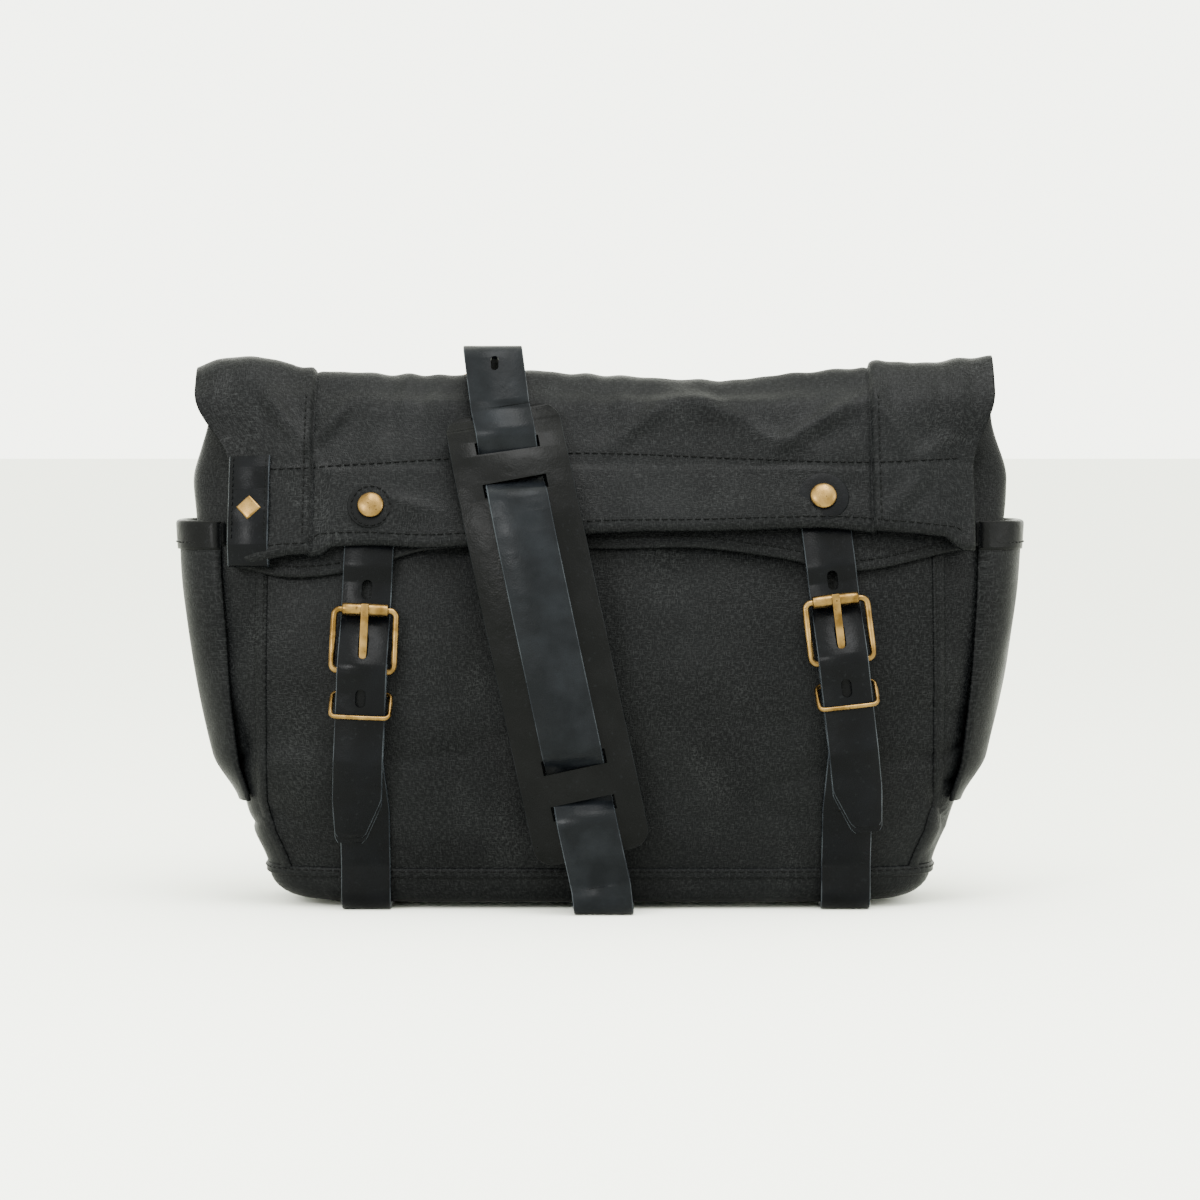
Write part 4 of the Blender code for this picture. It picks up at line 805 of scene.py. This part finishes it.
hl.new(flecked, hide_out.inputs["Color"])
hide_gloss = noise_mask(hn, hl, hide_place, 90.0, 4.0, 0.3, 0.7)
hl.new(value_range(hn, hl, hide_gloss, 0.26, 0.44), hide_out.inputs["Roughness"])


def hide_material(name, dark, light, bump=0.16):
    material = bpy.data.materials.new(name)
    material.use_nodes = True
    nodes, links = material.node_tree.nodes, material.node_tree.links
    shader = nodes["Principled BSDF"]
    shader.inputs["Specular IOR Level"].default_value = 0.045
    group = nodes.new("ShaderNodeGroup")
    group.node_tree = leather
    group.inputs["Dark"].default_value = (*dark, 1.0)
    group.inputs["Light"].default_value = (*light, 1.0)
    place = nodes.new("ShaderNodeTexCoord")
    links.new(place.outputs["Object"], group.inputs["Place"])
    links.new(group.outputs["Color"], shader.inputs["Base Color"])
    links.new(group.outputs["Roughness"], shader.inputs["Roughness"])
    relief = nodes.new("ShaderNodeBump")
    relief.inputs["Strength"].default_value = bump
    relief.inputs["Distance"].default_value = 0.0004
    links.new(group.outputs["Height"], relief.inputs["Height"])
    links.new(relief.outputs["Normal"], shader.inputs["Normal"])
    return material


strap_hide = hide_material("blue_black_bridle_leather", (0.0003, 0.0004, 0.0007), (0.0009, 0.0011, 0.0017))
pad_hide = hide_material("black_pad_leather", (0.0006, 0.0007, 0.0008), (0.0013, 0.0014, 0.0016), 0.22)
pad_edge = hide_material("burnished_pad_edge", (0.0012, 0.0014, 0.0017), (0.0045, 0.0050, 0.0058), 0.3)
# The shoulder strap's hide is the bridle leather painted much lighter: a painted sheen standing in for the
# broad highlight along the strap.
shoulder_hide_painted_sheen = hide_material("shoulder_strap_leather", (0.0018, 0.0022, 0.0029), (0.0048, 0.0056, 0.0070))
# Pale grey-blue cut edges: partly the raw edge's own lighter colour, partly a painted highlight along the
# edges.
raw_edge_and_painted_highlight = hide_material("raw_leather_edge_and_painted_highlight", (0.006, 0.007, 0.009), (0.028, 0.032, 0.037), 0.6)


def pocket_shape(side, u, v):
    t = -POCKET_REACH + 2 * POCKET_REACH * u
    z = POCKET_LOW + (POCKET_TOP - POCKET_LOW) * v
    relief = 0.0007 * dent(Vector((t * 0.05, 0.0, z)), 0.03, 4.0 + side) * smooth_step(z, POCKET_LOW, 0.09)
    return gusset_point(side, t, z, pocket_out(t, z) - CLOTH_LAP + min(relief, 0.0006))


# section of the folded binding: distance out from the pocket's cloth, rise above its edge
CLOTH_LAP = 0.0008
BINDING_FOLD = (
    (0.0014, -0.0130), (0.0015, -0.0060), (0.0015, 0.0), (0.0012, 0.0008), (0.0004, 0.0012),
    (-0.0010, 0.0012), (-0.0017, 0.0007), (-0.0020, 0.0), (-0.0020, -0.0110),
)


def binding_shape(side, u, v):
    t = (-1 + 2 * u) * (POCKET_REACH + 0.006)
    place = v * (len(BINDING_FOLD) - 1)
    index = min(int(place), len(BINDING_FOLD) - 2)
    share = place - index
    (out, rise), (next_out, next_rise) = BINDING_FOLD[index:index + 2]
    out = out * (1 - share) + next_out * share
    z = POCKET_TOP + rise * (1 - share) + next_rise * share
    return gusset_point(side, t, z, pocket_out(t, z) + out - CLOTH_LAP)


for side, word in ((-1, "left"), (1, "right")):
    pocket = formed_cloth("side_pocket_cloth_" + word, 40, 60, partial(pocket_shape, side), POCKET_CUT)
    tidy_normals(pocket)
    thicken(pocket, 0.0016, 0.0)
    pocket.data.materials.append(canvas)
    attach(pocket, "bag")
    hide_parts("side_pocket_" + word)

    binding_name = "pocket_binding_leather_" + word
    binding = formed_cloth(binding_name, 40, 40, partial(binding_shape, side), BINDING_CUT)
    tidy_normals(binding)
    thicken(binding, 0.0010, 0.0)
    binding.data.materials.append(pad_hide)
    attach(binding, "bag")
    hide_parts("pocket_binding_" + word)
    spots, faces = [], []
    for step in range(31):
        t = -0.87 + 1.74 * step / 30
        z = POCKET_TOP - 0.0095
        spots.append(gusset_point(side, t, z, pocket_out(t, z) + 0.0014))
        faces.append(Vector((side, 0.25 * t, 0.0)).normalized())
    stitches("pocket_binding_stitches_" + word, spots, faces, "bag", 0.0034, 0.0024)

# ---- Leather label ------------------------------------------------------------------------------
# A short loop of strap leather folded round the lip at the left end, with a plain diamond plate.
def rounded_path(points, radius, steps=6):
    """Polyline with its corners turned into arcs."""
    path = [points[0]]
    for before, corner, after in zip(points, points[1:], points[2:]):
        arriving = (corner - before).normalized()
        leaving = (after - corner).normalized()
        turn = arriving.angle(leaving)
        if turn < math.radians(1.5):
            path.append(corner)
            continue
        room = 0.45 * min((corner - before).length, (after - corner).length)
        reach = min(radius * math.tan(turn / 2), room)
        bend = reach / math.tan(turn / 2)
        start = corner - arriving * reach
        inward = (leaving - arriving * leaving.dot(arriving)).normalized()
        for step in range(steps + 1):
            angle = turn * step / steps
            path.append(start + arriving * bend * math.sin(angle) + inward * bend * (1 - math.cos(angle)))
    path.append(points[-1])
    return path


def strap(name, path, sides, width, thick, halves=None, material=None, rim=None):
    """Leather strap along a path with its width along the given directions and pale cut edges, their
    paleness partly the raw edge's colour and partly a painted highlight.
    """
    normals = []
    for index, point in enumerate(path):
        tangent = (path[min(index + 1, len(path) - 1)] - path[max(index - 1, 0)]).normalized()
        side = sides[index] if isinstance(sides, list) else sides
        normals.append(side.cross(tangent))
    piece = sweep(name, path, normals, width, thick, halves, edge=0.00045)
    piece.data.materials.append(material or strap_hide)
    piece.data.materials.append(rim or raw_edge_and_painted_highlight)
    for face in piece.data.polygons:
        if face.area > 0 and len(face.vertices) == 4:
            nearest = min(range(len(path)), key=lambda index: (path[index] - face.center).length_squared)
            side = (sides[nearest] if isinstance(sides, list) else sides).normalized()
            if abs(face.normal.dot(side)) > 0.45:
                face.material_index = 1
    return piece


LABEL_X = -0.1775
LABEL_TOP = 0.2295
LABEL_LOW = 0.1855
label_points = []
for step in range(9):
    spot, normal = flap_skin(LABEL_X, LABEL_TOP - (LABEL_TOP - LABEL_LOW) * step / 8)
    label_points.append(spot + normal * 0.0012)
last = label_points[-1]
lip = eased(LABEL_X, LIP_X, LIP_Z)
label_points.append(Vector((LABEL_X, last.y + 0.0004, lip - 0.0030)))
label_points.append(Vector((LABEL_X, last.y + 0.0056, lip - 0.0030)))
label_points.append(Vector((LABEL_X, last.y + 0.0056, lip + 0.016)))
label_path = rounded_path(label_points, 0.0016)
label = strap("label_leather", label_path, Vector((1.0, -0.16, 0.0)).normalized(), 0.021, 0.0017)
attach(label, "flap")
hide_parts("label_loop")
faces = [Vector((0.0, -0.95, 0.2)).normalized()] * 9
for nudge, word in ((-0.0085, "left"), (0.0085, "right")):
    row = [spot + Vector((nudge, -0.0010 - nudge * 0.16, 0.0)) for spot in label_points[:9]]
    stitches("label_stitches_" + word, row, faces, "flap", 0.0034, 0.0024, 0.00028)

# ---- Closure straps -----------------------------------------------------------------------------
# Two bridle-leather belts, each sewn from a long lower strap that runs under the bag and folds
# back round its buckle bar, and a billet from under the flap that passes the buckle and keeper.
WIDTH = 0.025
THICK = 0.0025


def canvas_in_front(x, z, half=WIDTH / 2):
    """The outermost y of the front canvas under a strap's width."""
    return min(body_skin(x + shift, z)[0].y for shift in (-half, 0.0, half))


def canvas_behind(x, z, half=WIDTH / 2):
    """The outermost y of the back canvas under a strap's width."""
    return max(body_skin(x + shift, z, True)[0].y for shift in (-half, 0.0, half))


def inner_edge(surface, x, z):
    return surface(max(abs(x) - WIDTH / 2 - 0.001, 0.0), z)


def strap_frame(bar_x, bar_z, tilt):
    """Frame at the canvas behind a buckle bar: Z up the strap, Y into the bag."""
    up = Vector((math.sin(tilt), 0.0, math.cos(tilt)))

    def level(s):
        spot = Vector((bar_x, 0.0, bar_z)) + up * s
        return inner_edge(front_y, spot.x, spot.z)

    slope = (level(-0.016) - level(-0.028)) / 0.012
    axis = Vector((up.x, slope, up.z)).normalized()
    side = Vector((up.z, 0.0, -up.x))
    place = Matrix((side, axis.cross(side), axis)).transposed().to_4x4()
    place.translation = Vector((bar_x, level(-0.022) + slope * 0.022, bar_z))
    return place


def falls_back(place, s):
    """How far the canvas falls away behind a strap frame's own plane."""
    depth = 0.0
    for _ in range(3):
        spot = place @ Vector((0.0, depth, s))
        depth += (inner_edge(front_y, spot.x, spot.z) - spot.y) / place.col[1].y
    return depth


def tip_halves(path, width, lean, start=0.020, tip=0.015):
    """Half widths of a strap whose last stretch narrows to a blunt tip, mostly on one side."""
    runs = runs_along(path)
    halves = []
    near, far = (0.8, 0.2) if lean < 0 else (0.2, 0.8)
    for run in runs:
        left = runs[-1] - run
        narrow = max(1.0 - left / start, 0.0) * (width - tip)
        blunt = max(1.0 - left / 0.0016, 0.0) ** 2 * 0.0012
        halves.append((width / 2 - narrow * near - blunt, width / 2 - narrow * far - blunt))
    return halves


def dense(path, step=0.0022):
    """Path with extra stations on its long straight runs."""
    result = [path[0]]
    for first, second in zip(path, path[1:]):
        parts = max(1, int((second - first).length / step))
        result += [first.lerp(second, (part + 1) / parts) for part in range(parts)]
    return result


def punch(piece, cutter):
    """Cut a hole with a closed cutter, then remove the cutter."""
    pick(piece)
    cut = piece.modifiers.new("hole", "BOOLEAN")
    cut.object = cutter
    cut.solver = "EXACT"
    bpy.ops.object.modifier_apply(modifier=cut.name)
    bpy.data.objects.remove(cutter, do_unlink=True)


def oval_cutter(place, half_width, half_length, depth):
    """Punch for an oblong hole; the place's Y runs through the strap."""
    bpy.ops.object.select_all(action="DESELECT")
    bpy.ops.mesh.primitive_cylinder_add(vertices=24, radius=1.0, depth=2.0)
    cutter = bpy.context.object
    for vertex in cutter.data.vertices:
        x, y, z = vertex.co
        stretch = half_length - half_width
        vertex.co = place @ Vector((x * half_width, z * depth, y * half_width + math.copysign(stretch, y)))
    cutter.data.update()
    tidy_normals(cutter)
    return cutter


# each belt: the buckle bar's place and lean, where the strap comes up from the floor, its tip's side
closures = (
    ("left", -0.1193, 0.447 * HEIGHT, math.radians(2.5), -0.1185, -1),
    ("right", 0.1220, 0.465 * HEIGHT, math.radians(-6.5), 0.1245, 1),
)
FLOOR_MID = 0.00135
BAR_OUT = 0.00595
BAR_TURN = 0.00335
INNER_LEAF = 0.00455
OUTER_LEAF = 0.00735
BILLET_LEAF = 0.01015
OVER_ROLLER = 0.0121
KEEPER_S = -0.046
LINING = 0.00155
LEAF = 0.0028
HEM_Z = 0.652 * HEIGHT
across = Vector((1.0, 0.0, 0.0))
for word, bar_x, bar_z, tilt, foot_x, lean in closures:
    place = strap_frame(bar_x, bar_z, tilt)
    side = place.to_3x3() @ across

    # lower strap: up from the back, under the bag, up the front, round the bar and down again
    points = [Vector((foot_x, canvas_behind(foot_x, z) + 0.0017, z)) for z in (0.050, 0.036, 0.024)]
    points.append(Vector((foot_x, points[-1].y + 0.0004, FLOOR_MID)))
    points.append(Vector((foot_x, canvas_in_front(foot_x, 0.024) - 0.0022, FLOOR_MID)))
    points += [Vector((foot_x, canvas_in_front(foot_x, z) - 0.0018, z)) for z in (0.024, 0.036, 0.052)]
    low = place @ Vector((0.0, -INNER_LEAF, KEEPER_S))
    middle_x = (foot_x + low.x) / 2
    middle_z = (0.052 + low.z) / 2
    middle_y = min(canvas_in_front(middle_x, middle_z) - 0.0016, (points[-1].y + low.y) / 2)
    points.append(Vector((middle_x, middle_y, middle_z)))
    points.append(low)
    fold = [(-INNER_LEAF, -0.009), (BAR_TURN - BAR_OUT, -0.0025)]
    for step in range(17):
        angle = math.pi * step / 16
        fold.append((BAR_TURN * math.cos(angle) - BAR_OUT, BAR_TURN * math.sin(angle)))
    fold += [(-BAR_TURN - BAR_OUT, -0.0025), (-OUTER_LEAF, -0.009), (-OUTER_LEAF, KEEPER_S)]
    fold += [(falls_back(place, s) - LINING - LEAF - 0.0003, s) for s in (-0.058, -0.072, -0.0865)]
    points += [place @ Vector((0.0, y, s)) for y, s in fold]
    path = dense(rounded_path(points, 0.008, 6))
    sides = []
    for index, point in enumerate(path):
        sides.append(across if point.z < 0.056 and index < len(path) / 2 else side)
    lower = strap("lower_strap_leather_" + word, path, sides, WIDTH, THICK, tip_halves(path, WIDTH, -lean))
    punch(lower, oval_cutter(place @ Matrix.Translation((0.0, -0.006, 0.0005)), 0.0029, 0.0072, 0.009))
    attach(lower, "bag")
    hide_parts("lower_strap_" + word)

    # billet: from under the flap, behind the roller, over the bar and through the keeper
    hem_s = (HEM_Z - bar_z) / math.cos(tilt)
    over_hem = LINING + 0.0022 + 0.0008 + 0.0012
    stations = [(falls_back(place, s) - over_hem, s) for s in (0.0975, 0.082, 0.068, hem_s)]
    stations += [(falls_back(place, hem_s - 0.003) - over_hem, hem_s - 0.003)]
    stations += [(falls_back(place, s) - 0.00215, s) for s in (hem_s - 0.011, 0.034, 0.027)]
    stations += [(-OVER_ROLLER, 0.0025), (-OVER_ROLLER, -0.0015)]
    stations += [(-BILLET_LEAF, -0.011), (-BILLET_LEAF, KEEPER_S)]
    stations += [(falls_back(place, s) - LINING - 2 * LEAF - 0.0006, s) for s in (-0.058, -0.070, -0.0835)]
    path = dense(rounded_path([place @ Vector((0.0, y, s)) for y, s in stations], 0.006, 5))
    billet = strap("billet_leather_" + word, path, side, WIDTH, THICK, tip_halves(path, WIDTH, -lean))
    punch(billet, oval_cutter(place @ Matrix.Translation((0.0, -0.004, 0.0127)), 0.0026, 0.0062, 0.016))
    punch(billet, oval_cutter(place @ Matrix.Translation((0.0, 0.007, 0.0412)), 0.0027, 0.0050, 0.013))
    punch(billet, oval_cutter(place @ Matrix.Translation((0.0, -0.0105, -0.0135)), 0.0026, 0.0046, 0.0026))
    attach(billet, "bag")
    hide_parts("billet_" + word)

# ---- Shoulder strap -----------------------------------------------------------------------------
# One wide leather strap from the back anchor under the bag, up the front through the slotted pad,
# over the ridge and through a buckle on a short strap behind.
STRAP_WIDTH = 0.030
STRAP_THICK = 0.0029
STRAP_MID = 0.0015
FOOT_X = 0.002
RIDGE_STRAP_X = -0.055
FOLD_Y = -0.075
FOLD_Z = 0.008
RIDGE_RADIUS = math.hypot(FOLD_Y, HEIGHT + 0.007 - FOLD_Z)
ARC_START = math.radians(13.5)
PAD_THICK = 0.0030
PAD_LEVELS = (0.0300, 0.0699, 0.1092, 0.1583, 0.1979, 0.2274, 0.2525)
PAD_AHEAD = (-0.0737, -0.0753, -0.0743, -0.0702, -0.0631, -0.0513, -0.0349)


def strap_x(z):
    """Place across the bag of the slanting front run."""
    return FOOT_X + (RIDGE_STRAP_X - FOOT_X) * min((z - FOLD_Z) / (HEIGHT - FOLD_Z), 1.0)


spine = []
for step in range(121):
    z = PAD_LEVELS[-1] - (PAD_LEVELS[-1] - PAD_LEVELS[0]) * step / 120
    spine.append(Vector((strap_x(z), eased(z, PAD_LEVELS, PAD_AHEAD), z)))
spine_runs = runs_along(spine)
PAD_LENGTH = spine_runs[-1]


def on_pad(run, lift=0.0):
    """Point on the pad's middle line, with its directions along, across and outward."""
    index = 0
    while index < len(spine) - 2 and spine_runs[index + 1] < run:
        index += 1
    share = (run - spine_runs[index]) / (spine_runs[index + 1] - spine_runs[index])
    tangent = (spine[index + 1] - spine[index]).normalized()
    side = (across - tangent * across.dot(tangent)).normalized()
    outward = side.cross(tangent)
    outward = outward if outward.y < 0 else -outward
    return spine[index].lerp(spine[index + 1], share) + outward * lift, tangent, side, outward


def on_arc(angle):
    """Point on the strap's curve over the ridge, centred on its fold at the floor."""
    y = FOLD_Y + RIDGE_RADIUS * math.sin(angle)
    return Vector((RIDGE_STRAP_X, y, FOLD_Z + RIDGE_RADIUS * math.cos(angle)))


lift = PAD_THICK / 2 + 2.8 * 0.0008 + STRAP_MID
slots = [run * PAD_LENGTH / 0.232 for run in (0.021, 0.044, 0.184, 0.207)]
high_end = slots[2] - 0.016
low_end = slots[1] + 0.016
route = [(PAD_LENGTH, 1), (PAD_LENGTH * 0.95, 1)]
for slot, arriving in ((slots[3], 1), (slots[2], -1), (slots[1], 1), (slots[0], -1)):
    route += [(slot + lift, arriving), (slot - lift, -arriving)]
    if slot == slots[2]:
        route += [(high_end + (low_end - high_end) * step / 11, 1) for step in range(12)]
route.append((0.0, 1))
front_points = [on_pad(run, lift * way)[0] for run, way in route]
top = front_points[-1]
start = on_arc(ARC_START)
rise = Vector((0.0, 0.42, 0.907))
arc_back = Vector((0.0, -math.cos(ARC_START), math.sin(ARC_START)))
gap = start - top
reach = (gap.y * arc_back.z - gap.z * arc_back.y) / (rise.y * arc_back.z - rise.z * arc_back.y)
peak = top + rise * reach
peak.x = RIDGE_STRAP_X

# rear run: from its anchor down the back and under the bag
STRAP_OUT = 0.0019
UNDER_Z = 0.0016
ANCHOR_Z = 0.150
rear_points = []
for step in range(8):
    z = ANCHOR_Z - (ANCHOR_Z - 0.034) * step / 7
    x = FOOT_X + 0.056 * smooth_step(z, 0.026, 0.130)
    rear_points.append(Vector((x, canvas_behind(x, z, 0.014) + STRAP_OUT, z)))
foot_y = canvas_behind(FOOT_X, 0.026, 0.014) + STRAP_OUT
rear_points += [Vector((FOOT_X, foot_y, 0.024)), Vector((FOOT_X, foot_y - 0.001, UNDER_Z))]
rear_points.append(Vector((FOOT_X, -0.0400, UNDER_Z)))
path = dense(rounded_path(rear_points, 0.0085, 5), 0.0035)
rear = strap("rear_run_leather", path, across, STRAP_WIDTH, STRAP_THICK, material=shoulder_hide_painted_sheen)
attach(rear, "bag")
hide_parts("shoulder_strap_rear")

# front run: from the join under the bag, turning up at the floor, through the pad and over the ridge
path = [Vector((FOOT_X, -0.0401, UNDER_Z)), Vector((FOOT_X, -0.0745, UNDER_Z))]
path.append(Vector((strap_x(0.0150), -0.0757, 0.0150)))
path = rounded_path(path + front_points + [peak, start], 0.0085, 5)
path += [on_arc(math.radians(15 + 19 * step / 20)) for step in range(21)]
path = dense(path, 0.0035)
shoulder = strap("shoulder_strap_leather", path, across, STRAP_WIDTH, STRAP_THICK, material=shoulder_hide_painted_sheen)
hole = Matrix((across, Vector((0.0, rise.z, -rise.y)), rise)).transposed().to_4x4()
hole.translation = peak.lerp(top, 0.30)
punch(shoulder, oval_cutter(hole, 0.0020, 0.0040, 0.006))
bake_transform(shoulder, "bag", "shoulder_front", start=(0.0, -0.0745, 0.0025), end=(0.0, -0.0750, 0.0140))
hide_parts("shoulder_strap_front")

# short strap: from its anchor up the back, round the rear buckle's bar and down behind itself
BAR_RADIUS = 0.0018
SNUG = 0.0003
BUCKLE_RISE = 0.031
BUCKLE_ANGLE = math.radians(27.0)
short_points = []
for z in (0.112, 0.131, 0.150):
    short_points.append(Vector((RIDGE_STRAP_X, canvas_behind(RIDGE_STRAP_X, z, 0.014) + STRAP_OUT, z)))
along = Vector((0.0, -math.cos(BUCKLE_ANGLE), math.sin(BUCKLE_ANGLE)))
rear_place = Matrix((-across, along.cross(-across), along)).transposed().to_4x4()
rear_place.translation = on_arc(BUCKLE_ANGLE)
bar_in = STRAP_MID + 0.0008 + 0.003 + SNUG + BAR_RADIUS
roller_out = STRAP_MID + 0.0005 + 0.0034 + SNUG
half_rise = 0.5 * math.sqrt(BUCKLE_RISE ** 2 - (bar_in + roller_out) ** 2)
bar = rear_place @ Vector((0.0, bar_in, -half_rise))
climb = (bar - short_points[-1]).normalized()
out = Vector((0.0, climb.z, -climb.y))
swing = BAR_RADIUS + SNUG + STRAP_MID
close = 0.00165
short_points += [bar - climb * 0.030 - out * close, bar - climb * 0.011 - out * close]
for step in range(17):
    turn = math.pi * step / 16
    short_points.append(bar - out * swing * math.cos(turn) + climb * swing * math.sin(turn))
short_points += [bar - climb * 0.011 + out * close, bar - climb * 0.040 + out * close]
path = dense(rounded_path(short_points, 0.0055, 5), 0.004)
short = strap("short_strap_leather", path, across, STRAP_WIDTH, STRAP_THICK, material=shoulder_hide_painted_sheen)
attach(short, "bag")
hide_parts("shoulder_strap_short")

# ---- Shoulder pad -------------------------------------------------------------------------------
# A thick leather pad with four punched slots, carried on the strap, its corners cut round.
PAD_WIDTH = 0.059
PAD_CORNER = 0.010
SLOT_ACROSS = 0.0325
SLOT_ALONG = 0.0074
corner_runs = [PAD_CORNER * (1 - math.cos(math.pi / 2 * step / 8)) for step in range(9)]
pad_runs = {0.0, PAD_LENGTH} | set(corner_runs)
pad_runs |= {PAD_LENGTH - run for run in corner_runs}
pad_runs |= {PAD_LENGTH * step / 90 for step in range(91)}
pad_path = []
pad_halves = []
for run in sorted(pad_runs):
    inset = max(PAD_CORNER - run, run - PAD_LENGTH + PAD_CORNER, 0.0)
    half = PAD_WIDTH / 2 - PAD_CORNER + math.sqrt(max(PAD_CORNER ** 2 - inset ** 2, 0.0))
    wave = 0.0003 * dent(Vector((0.0, run, 0.0)), 0.03, 6.0)
    pad_path.append(on_pad(run)[0])
    pad_halves.append((half + wave, half - wave))
pad = strap("shoulder_pad_leather", pad_path, across, PAD_WIDTH, PAD_THICK, pad_halves, pad_hide, pad_edge)
for slot in slots:
    middle, tangent, side, outward = on_pad(slot)
    place = Matrix((side, outward, side.cross(outward))).transposed().to_4x4()
    place.translation = middle
    bpy.ops.object.select_all(action="DESELECT")
    bpy.ops.mesh.primitive_cube_add(size=1.0)
    cutter = bpy.context.object
    for vertex in cutter.data.vertices:
        x, y, z = vertex.co
        vertex.co = place @ Vector((x * SLOT_ACROSS, y * 0.012, z * SLOT_ALONG))
    tidy_normals(cutter)
    punch(pad, cutter)
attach(pad, "shoulder_front")
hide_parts("shoulder_pad")

# ---- Buckles, rollers and tongues ---------------------------------------------------------------
# Bent-wire buckle frames with turning sheet rollers, and flat tongues on the two belts.
# All the metal is antiqued brass: bright where it rubs, brown in the hollows.
brass = bpy.data.materials.new("antique_brass")
brass.use_nodes = True
bn, bl = brass.node_tree.nodes, brass.node_tree.links
brass_shader = bn["Principled BSDF"]
brass_shader.inputs["Metallic"].default_value = 1.0
brass_place = bn.new("ShaderNodeTexCoord").outputs["Object"]
BRASS_BROWN = (0.060, 0.034, 0.009)
BRASS_BRIGHT = (0.150, 0.093, 0.032)
BRASS_DIRT = (0.020, 0.011, 0.004)
rubbed = noise_mask(bn, bl, brass_place, 130.0, 5.0, 0.35, 0.65)
specks = noise_mask(bn, bl, brass_place, 520.0, 3.0, 0.62, 0.75)
tone = blend_colour(bn, bl, rubbed, BRASS_BROWN, BRASS_BRIGHT)
aged = blend_colour(bn, bl, specks, tone, BRASS_DIRT)
bl.new(aged, brass_shader.inputs["Base Color"])
brass_gloss = noise_mask(bn, bl, brass_place, 210.0, 4.0, 0.3, 0.7)
bl.new(value_range(bn, bl, brass_gloss, 0.22, 0.46), brass_shader.inputs["Roughness"])


def refined(node, level, bevel=0.0):
    """Smooth-surfaced copy of a metal part, standing in for it."""
    source = frame["nodes"][node]
    copy = source.copy()
    copy.data = source.data.copy()
    copy.name = node + "_metal"
    copy.animation_data_clear()
    copy.parent = None
    copy.matrix_world = source.matrix_world.copy()
    bpy.context.scene.collection.objects.link(copy)
    pick(copy)
    bpy.ops.object.transform_apply(location=True, rotation=True, scale=True)
    bpy.ops.object.mode_set(mode="EDIT")
    bpy.ops.mesh.select_all(action="SELECT")
    bpy.ops.mesh.remove_doubles(threshold=0.000005)
    bpy.ops.mesh.tris_convert_to_quads(face_threshold=math.radians(50), shape_threshold=math.radians(60))
    bpy.ops.mesh.normals_make_consistent(inside=False)
    bpy.ops.object.mode_set(mode="OBJECT")
    if bevel:
        rounding = copy.modifiers.new("rounding", "BEVEL")
        rounding.width = bevel
        rounding.segments = 3
        rounding.limit_method = "ANGLE"
        rounding.angle_limit = math.radians(35)
    if level:
        smooth = copy.modifiers.new("smooth", "SUBSURF")
        smooth.levels = level
        smooth.render_levels = level
    apply_all(copy)
    copy.data.shade_smooth()
    if not level:
        copy.data.set_sharp_from_angle(angle=math.radians(50))
    copy.data.materials.clear()
    copy.data.materials.append(brass)
    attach(copy, body_of(source)[0])
    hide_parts(node)
    return copy


for word in ("left", "right", "rear"):
    refined("buckle_frame_" + word, 2)
    refined("roller_" + word, 1)
for word in ("left", "right"):
    refined("tongue_" + word, 0, 0.0004)

# ---- Keepers ------------------------------------------------------------------------------------
# A loop of bent brass wire on each belt below its buckle, which slides down to free the billet.
for word in ("left", "right"):
    refined("keeper_" + word, 2)

# ---- Rivets -------------------------------------------------------------------------------------
# Brass rivets that hold the lower ends of the belts and both ends of the shoulder strap.
for node in ("rivet_left", "rivet_right", "anchor_rivet_rear", "anchor_rivet_short"):
    refined(node, 0)

# ---- Press studs --------------------------------------------------------------------------------
# A domed cap and its socket riveted through the flap over a round trim, canvas on the left and
# leather on the right, and below each a stud on the hem for it to snap on.
SOCKET_BACK = 0.0009
for word, trim in (("left", canvas), ("right", strap_hide)):
    refined("snap_cap_" + word, 1)
    refined("snap_stud_" + word, 0)
    socket = refined("snap_socket_" + word, 0)
    for vertex in socket.data.vertices:
        vertex.co.y += SOCKET_BACK
    washer = refined("snap_washer_" + word, 0, 0.0003)
    washer.data.materials.clear()
    washer.data.materials.append(trim)

RING_RADIUS = 0.0098
low_corner, high_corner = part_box("snap_washer_left")
middle = (Vector(low_corner) + Vector(high_corner)) / 2
circle = []
for step in range(49):
    angle = 2 * math.pi * step / 48
    circle.append((middle.x + RING_RADIUS * math.cos(angle), middle.z + RING_RADIUS * math.sin(angle)))
spots, faces = row_on(skin(bpy.data.objects["snap_washer_left_metal"], flap), circle)
stitches("snap_ring_stitches", spots, faces, "flap", 0.0034, 0.0024)

# ---- Label plate --------------------------------------------------------------------------------
# A thin plain brass diamond pinned to the leather label.
refined("label_plate", 0, 0.0003)
